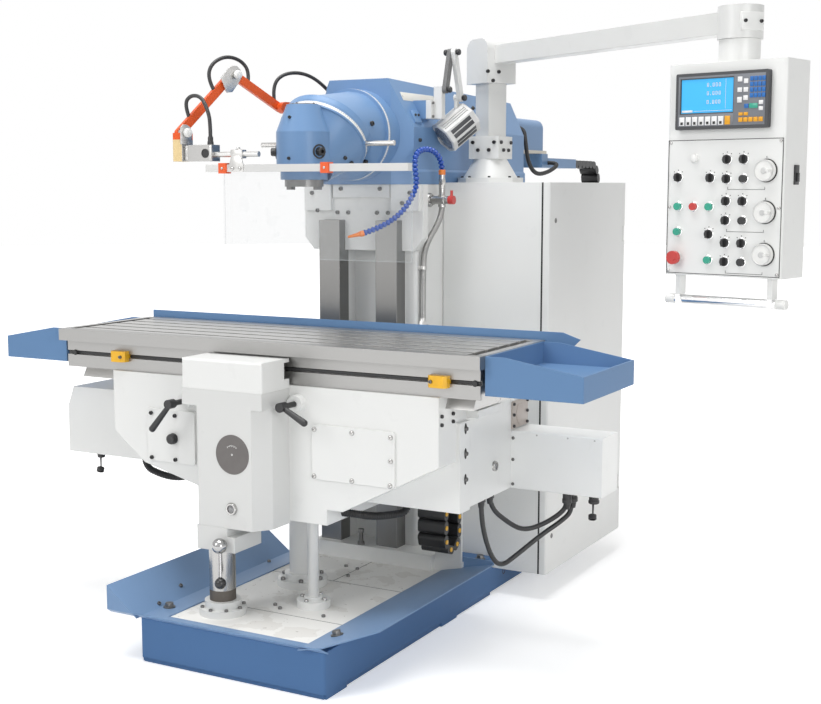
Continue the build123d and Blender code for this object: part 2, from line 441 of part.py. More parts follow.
def screw_tube():
    tube_part = rod((TUBE_X, TUBE_Y, DECK), (TUBE_X, TUBE_Y, TUBE_TOP), TUBE_R)
    tube_part += stepped_flange(TUBE_X, TUBE_Y, TUBE_STEPS)
    tube_part -= rod((TUBE_X, TUBE_Y, DECK), (TUBE_X, TUBE_Y, TUBE_TOP - TUBE_NUT_L), TUBE_BORE)
    return tube_part - rod((TUBE_X, TUBE_Y, DECK), (TUBE_X, TUBE_Y, TUBE_TOP), Z_SCREW_R + SHAFT_GAP)


def guide_tube():
    foot = rod((GUIDE_X, GUIDE_Y, DECK), (GUIDE_X, GUIDE_Y, DECK + GUIDE_FLANGE_H), GUIDE_FLANGE_R, GUIDE_R)
    return foot + rod((GUIDE_X, GUIDE_Y, DECK), (GUIDE_X, GUIDE_Y, GUIDE_TOP), GUIDE_R)


# Column group

def column_casting():
    slot_front = COLUMN_FRONT + CHANNEL_DEPTH
    body = block((-COLUMN_HALF, COLUMN_HALF), (COLUMN_FRONT, COLUMN_BACK), (DECK, RAM_BED))
    body = fillet(body.edges().filter_by(Axis.Z), COLUMN_CORNER)
    for x in ((-WAY_OUT, -WAY_IN), (WAY_IN, WAY_OUT)):
        body += block(x, (0, slot_front), (DECK, WAY_TOP))
    body -= block((-WAY_IN, WAY_IN), (0, slot_front), (WAY_FOOT, HEAD_LOW))
    body += block((COLUMN_FOOT_LEFT, COLUMN_FOOT_RIGHT), (COLUMN_FOOT_Y, slot_front), (DECK, WAY_FOOT))
    body += block((COLUMN_FOOT_RIGHT, LEDGE_RIGHT), (LEDGE_FRONT, TRAY_BACK - TRAY_SHEET),
                  (DECK, DECK + LEDGE_H))
    body += block(KNEE_CHAIN_X, (LEDGE_FRONT, LEDGE_FRONT + CHAIN_PLATE_T), (DECK, KNEE_CHAIN_END))
    low = HEAD_LOW - HEAD_FLARE
    outline = ((-COLUMN_HALF, low), (COLUMN_HALF, low), (HEAD_HALF, HEAD_LOW), (HEAD_HALF, RAM_BED),
               (-HEAD_HALF, RAM_BED), (-HEAD_HALF, HEAD_LOW))
    body += front_prism(outline, (HEAD_FRONT, HEAD_FRONT + HEAD_DEPTH))
    body += block((-BED_PLATE_HALF, BED_PLATE_HALF), (HEAD_FRONT - BED_PLATE_T, HEAD_FRONT),
                  (RAM_BED - BED_PLATE_H, RAM_BED))
    for x in ((-GIB_OUT, -GIB_IN), (GIB_IN, GIB_OUT)):
        body += block(x, (HEAD_FRONT - GIB_T, HEAD_FRONT), (GIB_LOW, RAM_BED))
    body += block(RAM_CHAIN_X, (COLUMN_BACK, COLUMN_BACK + BED_WALL),
                  (RAM_CHAIN_LOW - RAM_CHAIN_T, RAM_CHAIN_LOW + RAM_CHAIN_T))
    body -= block((-BED_SLOT_HALF, BED_SLOT_HALF), (slot_front, COLUMN_BACK - BED_WALL),
                  (RAM_BED - BED_SLOT_DEPTH, RAM_BED))
    return body - rod((0, slot_front - BED_WALL, Y_SCREW_Z), (0, COLUMN_BACK, Y_SCREW_Z),
                      Y_SCREW_R + SHAFT_GAP)


def y_screw():
    front, back = COLUMN_FRONT + CHANNEL_DEPTH - BED_WALL + WAY_GAP, COLUMN_BACK + WAY_GAP
    screw = rod((0, front, Y_SCREW_Z), (0, back, Y_SCREW_Z), Y_SCREW_R)
    return screw + rod((0, back, Y_SCREW_Z), (0, back + Y_COLLAR_T, Y_SCREW_Z), Y_COLLAR_R)


# Knee group

def dovetail(grow):
    """The table's dovetail outline, grown for the groove that holds it."""
    top, low = TABLE_UNDER, DOVETAIL_LOW - grow
    return ((TABLE_MID - DOVETAIL_TOP_HALF - grow, top), (TABLE_MID + DOVETAIL_TOP_HALF + grow, top),
            (TABLE_MID + DOVETAIL_LOW_HALF + grow, low), (TABLE_MID - DOVETAIL_LOW_HALF - grow, low))


def knee_body():
    """The knee's castings before its bores."""
    outline = ((KNEE_LEFT, KNEE_TOP), (KNEE_LEFT, KNEE_LEFT_LOW), KNEE_BELLY_LEFT, KNEE_BELLY_MID,
               (HOUSING_LEFT, KNEE_BELLY_MID[1]), (HOUSING_LEFT, KNEE_STEP[1]), KNEE_STEP,
               (KNEE_STEP[0], KNEE_STEP_UP[1]), KNEE_STEP_UP, (KNEE_RIGHT, KNEE_RIGHT_LOW),
               (KNEE_RIGHT, KNEE_TOP))
    knee = front_prism(outline, (KNEE_FRONT, KNEE_BACK))
    knee += block((-KNEE_SADDLE_HALF, KNEE_RIGHT), (RIB_FRONT, KNEE_BOX_BACK), (KNEE_WING_LOW, KNEE_TOP))
    saddle = (KNEE_SADDLE_LOW, KNEE_SADDLE_TOP)
    knee += block((-KNEE_SADDLE_HALF, KNEE_SADDLE_HALF), (KNEE_BACK, -WAY_GAP), saddle)
    for x in ((-KNEE_SADDLE_HALF, -WAY_OUT - WAY_GAP), (WAY_OUT + WAY_GAP, KNEE_SADDLE_HALF)):
        knee += block(x, (-WAY_GAP, KNEE_JAW_BACK), saddle)
    knee += block((KNEE_SADDLE_HALF, KNEE_RIGHT), (KNEE_BOX_BACK, KNEE_WING_BACK),
                  (KNEE_WING_LOW, KNEE_WING_TOP))
    knee += block((KNEE_RIGHT, KNEE_RIGHT + RIB_T), (RIB_FRONT, RIB_BACK), (KNEE_WING_LOW, RIB_TOP))
    knee += block((KNEE_RIGHT, KNEE_RIGHT + SHELF_OUT), SHELF_Y, SHELF_Z)
    for x, z in (LEVER_BOSS_LEFT, LEVER_BOSS_RIGHT):
        knee += rod((x, KNEE_FRONT, z), (x, KNEE_FRONT - LEVER_BOSS_L, z), LEVER_BOSS_R)
    return knee


def knee_casting():
    knee = knee_body()
    knee -= side_prism(dovetail(WAY_GAP), (KNEE_LEFT, KNEE_RIGHT))
    knee += block(span(X_NUT_X, X_NUT_L), span(TABLE_MID, 2 * X_NUT_HALF),
                  (DOVETAIL_LOW - WAY_GAP, X_NUT_TOP))
    knee -= rod((X_NUT_X - X_NUT_L, TABLE_MID, X_SCREW_Z), (X_NUT_X + X_NUT_L, TABLE_MID, X_SCREW_Z),
                X_SCREW_R + SHAFT_GAP)
    knee -= rod((TUBE_X, TUBE_Y, KNEE_SADDLE_LOW), (TUBE_X, TUBE_Y, Z_BEARING_LOW), TUBE_R + FREE_GAP)
    knee -= rod((TUBE_X, TUBE_Y, Z_BEARING_LOW), (TUBE_X, TUBE_Y, Z_SCREW_TOP), Z_SCREW_R + SHAFT_GAP)
    knee -= rod((GUIDE_X, GUIDE_Y, KNEE_SADDLE_LOW), (GUIDE_X, GUIDE_Y, GUIDE_BORE_TOP), GUIDE_R + FREE_GAP)
    for x, z in (LEVER_BOSS_LEFT, LEVER_BOSS_RIGHT):
        front = KNEE_FRONT - LEVER_BOSS_L
        knee -= rod((x, front, z), (x, front + LEVER_SHAFT_IN + WAY_GAP, z), LEVER_SHAFT_R + SHAFT_GAP)
    return knee


def z_screw():
    return rod((TUBE_X, TUBE_Y, Z_SCREW_LOW), (TUBE_X, TUBE_Y, Z_SCREW_TOP - WAY_GAP), Z_SCREW_R)


def front_housing():
    outline = ((HOUSING_LEFT, HOUSING_FRONT), (HOUSING_RIGHT, HOUSING_FRONT), (HOUSING_SIDE, HOUSING_CUT_Y),
               (HOUSING_SIDE, KNEE_FRONT), (HOUSING_LEFT, KNEE_FRONT))
    housing = plan_prism(outline, (HOUSING_LOW, HOUSING_TOP))
    housing += block((EAR_LEFT, EAR_RIGHT), (HOUSING_FRONT, KNEE_FRONT), (EAR_LOW, HOUSING_TOP))
    return housing - rod((POST_X, POST_Y, HOUSING_LOW), (POST_X, POST_Y, HOUSING_BORE_TOP), POST_R + FREE_GAP)


def clamp_block():
    clamp = block((CLAMP_LEFT, CLAMP_RIGHT), (HOUSING_FRONT, CLAMP_BACK), (CLAMP_LOW, HOUSING_LOW))
    clamp -= block((CLAMP_RIGHT - CLAMP_NOTCH, CLAMP_RIGHT), (HOUSING_FRONT, CLAMP_BACK),
                   (HOUSING_LOW - CLAMP_NOTCH, HOUSING_LOW))
    clamp -= rod((POST_X, POST_Y, CLAMP_LOW), (POST_X, POST_Y, HOUSING_LOW), POST_R + WAY_GAP)
    inner = HOUSING_FRONT + BALL_SHAFT_IN + WAY_GAP
    return clamp - rod((BALL_X, HOUSING_FRONT, BALL_Z), (BALL_X, inner, BALL_Z), BALL_SHAFT_R + SHAFT_GAP)


def top_cover():
    cover = block((EAR_LEFT, EAR_RIGHT), (HOUSING_FRONT, KNEE_FRONT), (HOUSING_TOP, COVER_TOP))
    upright = cover.edges().filter_by(Axis.Z).group_by(Axis.Y)[0]
    level = cover.edges().filter_by(Axis.X).group_by(Axis.Y)[0].sort_by(Axis.Z)[-1:]
    cover = fillet(upright + level, COVER_EDGE)
    return cover - block((EAR_LEFT, EAR_RIGHT), (DOG_PATH_Y, KNEE_FRONT), (DOG_PATH_LOW, DOG_PATH_HIGH))


def access_plate(x, z):
    """A cover plate with rounded corners on the knee's front."""
    plate = block(x, (KNEE_FRONT - PLATE_T, KNEE_FRONT), z)
    return fillet(plate.edges().filter_by(Axis.Y), COVER_EDGE)


def left_plate():
    plate = access_plate(PLATE_LEFT_X, PLATE_LEFT_Z)
    face = KNEE_FRONT - PLATE_T
    return plate + rod((KNOB_X, face, KNOB_Z), (KNOB_X, face - KNOB_L, KNOB_Z), KNOB_R)


def clamp_lever(boss, run, drop):
    """A hub on a shaft along Y with a slanted grip."""
    x, z = boss
    face = KNEE_FRONT - LEVER_BOSS_L
    hub = face - LEVER_REACH
    lever = rod((x, face + LEVER_SHAFT_IN, z), (x, hub, z), LEVER_SHAFT_R)
    lever += rod((x, hub, z), (x, hub - LEVER_HUB_L, z), LEVER_HUB_R)
    middle = hub - LEVER_HUB_L / 2
    lever += rod((x, middle, z), (x + run, middle, z + drop), LEVER_GRIP_R, LEVER_TIP_R)
    return lever + ball((x + run, middle, z + drop), LEVER_TIP_R)


def ball_lever():
    centre = Vector(BALL_X, HOUSING_FRONT - BALL_OUT, BALL_Z)
    knob = centre + Vector(BALL_ROD_X, BALL_ROD_Y, BALL_ROD_Z)
    lever = rod((BALL_X, HOUSING_FRONT + BALL_SHAFT_IN, BALL_Z), centre, BALL_SHAFT_R)
    lever += ball(centre, BALL_R)
    lever += rod(centre, knob, BALL_ROD_R)
    return lever + ball(knob, BALL_KNOB_R)


def drive_box_right():
    box = block(BOX_RIGHT_X, BOX_RIGHT_Y, BOX_RIGHT_Z)
    return fillet(box.edges().filter_by(Axis.X), BOX_EDGE)


def drive_box_left():
    (left, right), (low, high) = BOX_LEFT_X, BOX_LEFT_Z
    return front_prism(((left, low), (right, low), (right, high), (left + BOX_LEFT_CUT_X, high),
                        (left, high - BOX_LEFT_CUT_Z)), BOX_LEFT_Y)


def knee_cables():
    return (tube("long cable", CABLE_LONG, CABLE_R), tube("short cable", CABLE_SHORT, CABLE_R),
            ribbed("right hose", BELLOWS_RIGHT, BELLOWS_R, BELLOWS_BORE, BELLOWS_DEPTH, BELLOWS_RIGHT_RIBS,
                   (0, 1, 0)),
            ribbed("left hose", BELLOWS_LEFT, BELLOWS_R, BELLOWS_BORE, BELLOWS_DEPTH, BELLOWS_LEFT_RIBS,
                   (0, 1, 0)))


# Table group

def table():
    slab = block((TABLE_LEFT, TABLE_RIGHT), (TABLE_FRONT, TABLE_BACK), (TABLE_TOP - SLAB_T, TABLE_TOP))
    slab += block((TABLE_LEFT + BODY_SIDE, TABLE_RIGHT - BODY_SIDE), (BODY_FRONT, BODY_BACK),
                  (TABLE_UNDER, TABLE_TOP - SLAB_T))
    slab += side_prism(dovetail(0), (DOVETAIL_LEFT, DOVETAIL_RIGHT))
    left, right = TABLE_LEFT + TROUGH_INSET, TABLE_RIGHT - TROUGH_INSET
    neck = TABLE_TOP - TEE_NECK_H
    for index in range(TEE_COUNT):
        y = TABLE_MID + (index - (TEE_COUNT - 1) / 2) * TEE_PITCH
        run = (left + TROUGH_W / 2, right - TROUGH_W / 2)
        slab -= block(run, span(y, TEE_NECK), (neck, TABLE_TOP))
        slab -= block(run, span(y, TEE_HEAD), (neck - TEE_HEAD_H, neck))
    for x in (left, right - TROUGH_W):
        slab -= block((x, x + TROUGH_W), (TABLE_FRONT + TROUGH_MARGIN, TABLE_BACK - TROUGH_MARGIN),
                      (TABLE_TOP - TROUGH_DEPTH, TABLE_TOP))
    slab -= block((TABLE_LEFT, TABLE_RIGHT), (BODY_FRONT, BODY_FRONT + DOG_GROOVE_DEPTH),
                  span(DOG_GROOVE_Z, DOG_GROOVE_W))
    slab -= block((DOVETAIL_LEFT + X_WALL, DOVETAIL_RIGHT - X_WALL), span(TABLE_MID, 2 * X_SLOT_HALF),
                  (DOVETAIL_LOW, X_SLOT_TOP))
    return slab - rod((DOVETAIL_LEFT, TABLE_MID, X_SCREW_Z), (DOVETAIL_RIGHT, TABLE_MID, X_SCREW_Z),
                      X_SCREW_R + SHAFT_GAP)


def x_screw():
    return rod((DOVETAIL_LEFT + WAY_GAP, TABLE_MID, X_SCREW_Z),
               (DOVETAIL_RIGHT - WAY_GAP, TABLE_MID, X_SCREW_Z), X_SCREW_R)


def trip_dog(x):
    """A stop with its tongue in the table's front groove."""
    dog = block(span(x, DOG_L), (BODY_FRONT - DOG_OUT, BODY_FRONT), span(DOG_GROOVE_Z, DOG_H))
    dog = chamfer(dog.edges().filter_by(Axis.Z).group_by(Axis.Y)[0], DOG_CHAMFER)
    return dog + block(span(x, DOG_L), (BODY_FRONT, BODY_FRONT + DOG_GROOVE_DEPTH - DOG_FIT),
                       span(DOG_GROOVE_Z, DOG_GROOVE_W - 2 * DOG_FIT))


def rear_guard():
    end = GUARD_TOP - GUARD_END_DROP
    outline = ((GUARD_LEFT, GUARD_LOW), (TABLE_RIGHT, GUARD_LOW),
               (TABLE_RIGHT + GUARD_END_RUN / 2, end - GUARD_END_DROP / 2),
               (GUARD_RIGHT - GUARD_END_RUN / 3, end), (GUARD_RIGHT, end + GUARD_END_DROP / 2),
               (GUARD_RIGHT - GUARD_END_RUN, GUARD_TOP), (GUARD_LEFT, GUARD_TOP))
    guard = front_prism(outline, (GUARD_FACE - GUARD_T, GUARD_FACE))
    return guard + block((GUARD_LEFT, TABLE_RIGHT), (TABLE_BACK, GUARD_FACE - GUARD_T),
                         (FLANGE_LOW, FLANGE_HIGH))


def end_tray(near, far):
    """A sheet tray hung on one end of the table."""
    way = math.copysign(1, far - near)
    outline = ((near, PAN_LOW), (far, PAN_LOW), (far, PAN_END_HIGH), (near + way * PAN_FLAT, PAN_HIGH),
               (near, PAN_HIGH))
    tray = front_prism(outline, (PAN_FRONT, PAN_BACK))
    inner = sorted((near + way * PAN_SHEET, far - way * PAN_SHEET))
    return tray - block(inner, (PAN_FRONT + PAN_SHEET, PAN_BACK - PAN_SHEET), (PAN_FLOOR, PAN_HIGH))


# Ram group

def ram_shape():
    """The ram's shell: its section, side outline and plan taken together."""
    foot, step = RAM_BED + WAY_GAP, RAM_BED + RAM_FLANGE_H
    half = ((RAM_HALF, foot), (RAM_HALF, step), (RAM_WAIST, step + RAM_STEP), (RAM_WAIST, RAM_SHOULDER),
            (RAM_ROOF_HALF, RAM_ROOF))
    section = half + tuple((-x, z) for x, z in reversed(half))
    shell = front_prism(section, (RAM_FRONT, RAM_BACK))
    side = ((RAM_FRONT, foot), (RAM_BACK, foot), (RAM_BACK, RAM_ROOF_BACK), (RAM_FRONT, RAM_ROOF))
    shell &= side_prism(side, (-RAM_HALF, RAM_HALF))
    return shell & plan_prism(((-RAM_HALF, RAM_BACK), (-RAM_HALF, RAM_CORNER), (-RAM_NOSE_HALF, RAM_FRONT),
                               (RAM_NOSE_HALF, RAM_FRONT), (RAM_HALF, RAM_CORNER), (RAM_HALF, RAM_BACK)),
                              (foot, RAM_ROOF))


def ram_body():
    ram = ram_shape()
    ram += rod((0, RAM_CORNER, SWIVEL_Z), SWIVEL_CENTRE, SWIVEL_R)
    ram -= rod(SWIVEL_CENTRE, SWIVEL_CENTRE + Vector(0, PIVOT_L + WAY_GAP, 0), PIVOT_R + SHAFT_GAP)
    ram += block((-Y_NUT_HALF, Y_NUT_HALF), (Y_NUT_Y, Y_NUT_Y + Y_NUT_L),
                 (RAM_BED - BED_SLOT_DEPTH + FREE_GAP, RAM_BED + RAM_FLANGE_H))
    ram -= rod((0, Y_NUT_Y, Y_SCREW_Z), (0, Y_NUT_Y + Y_NUT_L, Y_SCREW_Z), Y_SCREW_R + SHAFT_GAP)
    ram += block(LAMP_PAD_X, LAMP_PAD_Y, LAMP_PAD_Z)
    y, z = LAMP_PIVOT
    face = LAMP_X - LAMP_BAR_T / 2 - WAY_GAP
    ram += block((LAMP_PAD_X[1], face), span(y, LAMP_BAR_W), (LAMP_PAD_Z[0], z + LAMP_BAR_W / 2))
    ram -= rod((LAMP_PAD_X[1], y, z), (face, y, z), LAMP_PIN_R + SHAFT_GAP)
    bracket_end = Vector(SHOULDER) - GUARD_RUN * BRACKET_L
    ram += link(SHOULDER, bracket_end, BRACKET_W, BRACKET_T, GUARD_AXIS, -BRACKET_T)
    ram += block(BRACKET_PAD_X, BRACKET_PAD_Y, BRACKET_PAD_Z)
    return ram - rod(Vector(SHOULDER) - GUARD_AXIS * BRACKET_T, SHOULDER, GUARD_PIN_R + SHAFT_GAP)


def motor_housing():
    motor = block((-MOTOR_HALF, MOTOR_HALF), (RAM_BACK, MOTOR_END), (MOTOR_LOW, MOTOR_HIGH))
    return fillet(motor.edges().filter_by(Axis.Y).group_by(Axis.Z)[-1], MOTOR_ROUND)


def motor_shelf():
    shelf = block((-SHELF_HALF, SHELF_HALF), (RAM_BACK, MOTOR_END), (MOTOR_LOW - SHELF_T, MOTOR_LOW))
    return shelf + block(CABLE_BOX_X, (CABLE_BOX_Y[0], MOTOR_END), (CABLE_BOX_Z[1], MOTOR_LOW - SHELF_T))


def cable_box():
    return block(CABLE_BOX_X, CABLE_BOX_Y, CABLE_BOX_Z)


# Head group

def ring_face(centre, axis, radius):
    """A disc square to an axis, kept level along X for the loft."""
    return Plane(centre, x_dir=(1, 0, 0), z_dir=axis) * Circle(radius)


def swivel_head():
    front = Vector(0, -1, 0)
    near, far = SWIVEL_CENTRE + front * SWIVEL_RING, TILT_CENTRE - TILT_AXIS * TILT_RING
    head = rod(SWIVEL_CENTRE + front * WAY_GAP, near, SWIVEL_R)
    head += loft([ring_face(near, front, SWIVEL_BODY_R), ring_face(far, TILT_AXIS, TILT_BODY_R)], ruled=True)
    head += rod(far, TILT_CENTRE, TILT_R)
    head += rod(SWIVEL_CENTRE - front * PIVOT_L, near, PIVOT_R)
    return head - rod(TILT_CENTRE, TILT_CENTRE - TILT_AXIS * (PIVOT_L + WAY_GAP), PIVOT_R + SHAFT_GAP)


def milling_head():
    face, ring = TILT_CENTRE + TILT_AXIS * WAY_GAP, TILT_CENTRE + TILT_AXIS * TILT_RING
    head = rod(face, ring, TILT_R)
    head += rod(ring, ring + TILT_AXIS * TILT_CONE_L, TILT_BODY_R, TILT_CONE_R)
    head += rod((0, NOSE_Y, NOSE_LOW), (0, NOSE_Y, NOSE_SHOULDER), NOSE_R)
    head += rod((0, NOSE_Y, NOSE_SHOULDER), (0, NOSE_Y, NOSE_TOP), NOSE_R, NOSE_TOP_R)
    head -= rod((0, NOSE_Y, NOSE_LOW - TILT_R), (0, NOSE_Y, NOSE_LOW), NOSE_R)
    head -= rod(face, face - TILT_AXIS * HEAD_TRIM_L, HEAD_TRIM_R)
    head += rod((0, NOSE_Y, CAP_LOW), (0, NOSE_Y, NOSE_LOW), CAP_R)
    head += rod(TILT_CENTRE - TILT_AXIS * PIVOT_L, ring, PIVOT_R)
    for side in (-1, 1):
        head += rod((side * TURN_BAR_IN, TURN_BAR_Y, TURN_BAR_Z), (side * TURN_BAR_END, TURN_BAR_Y, TURN_BAR_Z),
                    TURN_BAR_R)
    return head - rod((0, NOSE_Y, CAP_LOW), (0, NOSE_Y, NOSE_TOP), SPINDLE_R + SHAFT_GAP)


def spindle():
    face = Vector(0, NOSE_Y, NOSE_FACE)
    part = rod(face, (0, NOSE_Y, CAP_LOW - WAY_GAP), NOSE_DIA / 2)
    part += rod(face, (0, NOSE_Y, SPINDLE_TOP), SPINDLE_R)
    for x in ((-DRIVE_KEY_FAR, -DRIVE_KEY_IN), (DRIVE_KEY_IN, DRIVE_KEY_FAR)):
        part += block(x, (NOSE_Y - DRIVE_KEY_W / 2, NOSE_Y + DRIVE_KEY_W / 2),
                      (NOSE_FACE - DRIVE_KEY_OUT, NOSE_FACE + DRIVE_KEY_OUT))
    mouth = TAPER_DIA / 2
    part -= rod(face, face + Vector(0, 0, TAPER_DEPTH), mouth, mouth - TAPER_DEPTH * TAPER_RATE / 2)
    part -= rod(face, (0, NOSE_Y, SPINDLE_TOP), DRAWBAR_R)
    for turn in range(NOSE_HOLES):
        angle = (turn + 0.5) * 2 * math.pi / NOSE_HOLES
        hole = face + Vector(math.cos(angle), math.sin(angle), 0) * (NOSE_PCD / 2)
        part -= rod(hole, hole + Vector(0, 0, NOSE_HOLE_L), NOSE_HOLE_R)
    return part


# Guard and lamp

def guard_arm_inner():
    arm = link(SHOULDER, ELBOW, GUARD_BAR_W, GUARD_BAR_T, GUARD_AXIS, WAY_GAP)
    shoulder = Vector(SHOULDER)
    arm += rod(shoulder - GUARD_AXIS * BRACKET_T, shoulder + GUARD_AXIS * GUARD_BAR_T, GUARD_PIN_R)
    return arm - rod(ELBOW, Vector(ELBOW) + GUARD_AXIS * (GUARD_BAR_T + WAY_GAP), GUARD_PIN_R + SHAFT_GAP)


def guard_arm_outer():
    elbow, start = Vector(ELBOW), 2 * WAY_GAP + GUARD_BAR_T
    arm = link(ELBOW, WRIST, GUARD_BAR_W, GUARD_BAR_T, GUARD_AXIS, start)
    arm += rod(elbow + GUARD_AXIS * WAY_GAP, elbow + GUARD_AXIS * (start + GUARD_BAR_T), GUARD_PIN_R)
    front, back = WRIST[1] - GUARD_BAR_W / 2, RAIL_Y + SWITCH_HALF
    arm += block((WRIST[0] - SWITCH_ARM_W, SWITCH_LEFT), (front, back), (SWITCH_LOW, WRIST[2]))
    arm += block((SWITCH_LEFT, SWITCH_RIGHT), (RAIL_Y - SWITCH_HALF, back), (SWITCH_LOW, SWITCH_HIGH))
    return arm - rod((ROD_LEFT - WAY_GAP, RAIL_Y, ROD_Z), (SWITCH_RIGHT, RAIL_Y, ROD_Z), ROD_R + SHAFT_GAP)


def guard_rail():
    rail = block((RAIL_LEFT, RAIL_RIGHT), span(RAIL_Y, RAIL_H), span(RAIL_Z, RAIL_H))
    rail += rod((ROD_LEFT, RAIL_Y, ROD_Z), (ROD_RIGHT, RAIL_Y, ROD_Z), ROD_R)
    rail += block(span(HANGER_X, HANGER_T), span(RAIL_Y, HANGER_W), (RAIL_Z, ROD_Z + HANGER_W / 2))
    for x in RAIL_BLOCKS:
        rail += block(span(x, RAIL_BLOCK_W), (RAIL_Y - RAIL_BLOCK_H / 2, RAIL_Y + RAIL_H / 2),
                      span(RAIL_Z, RAIL_BLOCK_H))
    return rail


def guard_screen():
    face = RAIL_Y + RAIL_H / 2
    outline = ((RAIL_RIGHT, face), (SCREEN_BEND, face), (RAIL_LEFT, face + WING_BACK),
               (RAIL_LEFT, face + WING_BACK + 2 * SCREEN_T), (SCREEN_BEND + SCREEN_T / 2, face + SCREEN_T),
               (RAIL_RIGHT, face + SCREEN_T))
    return plan_prism(outline, (SCREEN_LOW, RAIL_Z + RAIL_H / 2))


def lamp_bar(start, end, x):
    """One flat arm of the lamp in a plane across X."""
    return link((x, *start), (x, *end), LAMP_BAR_W, LAMP_BAR_T, (1, 0, 0), -LAMP_BAR_T / 2)


def lamp_lower_arm():
    arm = lamp_bar(LAMP_PIVOT, LAMP_TOP, LAMP_X)
    arm += rod((LAMP_PAD_X[1] + LAMP_PIN_R, *LAMP_PIVOT), (LAMP_X, *LAMP_PIVOT), LAMP_PIN_R)
    return arm - rod((LAMP_X - LAMP_BAR_T, *LAMP_TOP), (LAMP_X + LAMP_BAR_T, *LAMP_TOP),
                     LAMP_PIN_R + SHAFT_GAP)


def lamp_upper_arm():
    side = LAMP_X + LAMP_BAR_T + WAY_GAP
    arm = lamp_bar(LAMP_TOP, LAMP_END, side)
    arm += rod((LAMP_X - LAMP_BAR_T / 2, *LAMP_TOP), (side, *LAMP_TOP), LAMP_PIN_R)
    return arm - rod((side - LAMP_BAR_T, *LAMP_END), (side + LAMP_BAR_T, *LAMP_END), LAMP_PIN_R + SHAFT_GAP)


def lamp_head():
    y, z = LAMP_END
    side = LAMP_X + LAMP_BAR_T + WAY_GAP
    body = Box(LAMP_BODY_X, LAMP_BODY_Y, LAMP_BODY_Z)
    body = fillet(body.edges().filter_by(Axis.Z), COVER_EDGE)
    for index in range(FIN_COUNT):
        at = (index + 1) * LAMP_BODY_X / (FIN_COUNT + 1) - LAMP_BODY_X / 2
        body -= Pos(at, 0, (LAMP_BODY_Z - FIN_DEPTH) / 2) * Box(FIN_GAP, LAMP_BODY_Y, FIN_DEPTH)
    head = Pos(LAMP_X, y, z - LAMP_DROP) * Rot(LAMP_LEAN, 0, 0) * body
    head += lamp_bar((y, z), (y, z - LAMP_DROP), LAMP_X)
    return head + rod((LAMP_X, y, z), (side + LAMP_BAR_T / 2, y, z), LAMP_PIN_R)


# Coolant group

def valve_turning(left, right, radius):
    """A round piece on the valve's axis across the column's side."""
    return rod((left, VALVE_Y, VALVE_Z), (right, VALVE_Y, VALVE_Z), radius)


def valve_body():
    valve = valve_turning(COLUMN_HALF, COLUMN_HALF + VALVE_FLANGE_T, VALVE_FLANGE_R)
    valve += valve_turning(COLUMN_HALF, VALVE_END, VALVE_R)
    valve += rod((VALVE_X, VALVE_Y, VALVE_LOW), (VALVE_X, VALVE_Y, VALVE_HIGH), VALVE_R)
    return valve - valve_turning(VALVE_END - VALVE_PIN_L, VALVE_END, VALVE_PIN_R + SHAFT_GAP)


def coolant_line():
    x, y, z = CONDUIT_ROUTE[-1]
    half = CONDUIT_FOOT_W / 2
    foot = block((COLUMN_HALF, x + half), span(y, CONDUIT_FOOT_W), (z - CONDUIT_FOOT_H, z))
    conduit = ribbed("conduit", CONDUIT_ROUTE, CONDUIT_R, CONDUIT_BORE, CONDUIT_DEPTH, CONDUIT_RIBS,
                     (1, 0, 0))
    return valve_body(), conduit, foot


def valve_handle():
    face = VALVE_END + WAY_GAP
    knob = valve_turning(face, face + VALVE_KNOB_L, VALVE_KNOB_R)
    knob += valve_turning(face - VALVE_PIN_L, VALVE_END + VALVE_KNOB_L, VALVE_PIN_R)
    middle = face + VALVE_KNOB_L / 2
    return knob + rod((middle, VALVE_Y, VALVE_Z), (middle, VALVE_Y, VALVE_Z + VALVE_TAB), VALVE_PIN_R)


def coolant_hose():
    hose = ribbed("coolant hose", COOLANT_ROUTE, COOLANT_R, COOLANT_BORE, COOLANT_DEPTH, COOLANT_RIBS,
                  (1, 0, 0))
    nozzle = rod(COOLANT_ROUTE[-1], NOZZLE_END, COOLANT_R, NOZZLE_R)
    return hose, nozzle - rod(COOLANT_ROUTE[-1], NOZZLE_END, COOLANT_BORE, NOZZLE_BORE)


# Cabinet group

def door_axis():
    """The hidden hinge line in the door's rear edge."""
    return CABINET_RIGHT - DOOR_T / 2, CABINET_BACK - DOOR_T / 2


def cabinet_case():
    seam = CABINET_RIGHT - DOOR_T - DOOR_GAP
    case = block((COLUMN_HALF, seam), (CABINET_FRONT, CABINET_BACK), (CABINET_LOW, CABINET_TOP))
    case = fillet(case.edges().filter_by(Axis.Z).group_by(Axis.X)[0], CABINET_EDGE)
    case -= block((COLUMN_HALF + CABINET_WALL, seam - DOOR_FRAME_T),
                  (CABINET_FRONT + CABINET_WALL, CABINET_BACK - CABINET_WALL),
                  (CABINET_LOW + CABINET_WALL, CABINET_TOP - CABINET_WALL))
    case -= block((seam - DOOR_FRAME_T, seam), (CABINET_FRONT + DOOR_FRAME, CABINET_BACK - DOOR_FRAME),
                  (CABINET_LOW + DOOR_FRAME, CABINET_TOP - DOOR_FRAME))
    x, y = door_axis()
    for middle in HINGE_Z:
        low, high = span(middle, HINGE_L - 2 * WAY_GAP)
        case += rod((x, y, low), (x, y, high), HINGE_KNUCKLE_R)
        case += block((seam, x), span(y, HINGE_STRAP), (low, high))
        case -= rod((x, y, low), (x, y, high), HINGE_R + SHAFT_GAP)
    return case


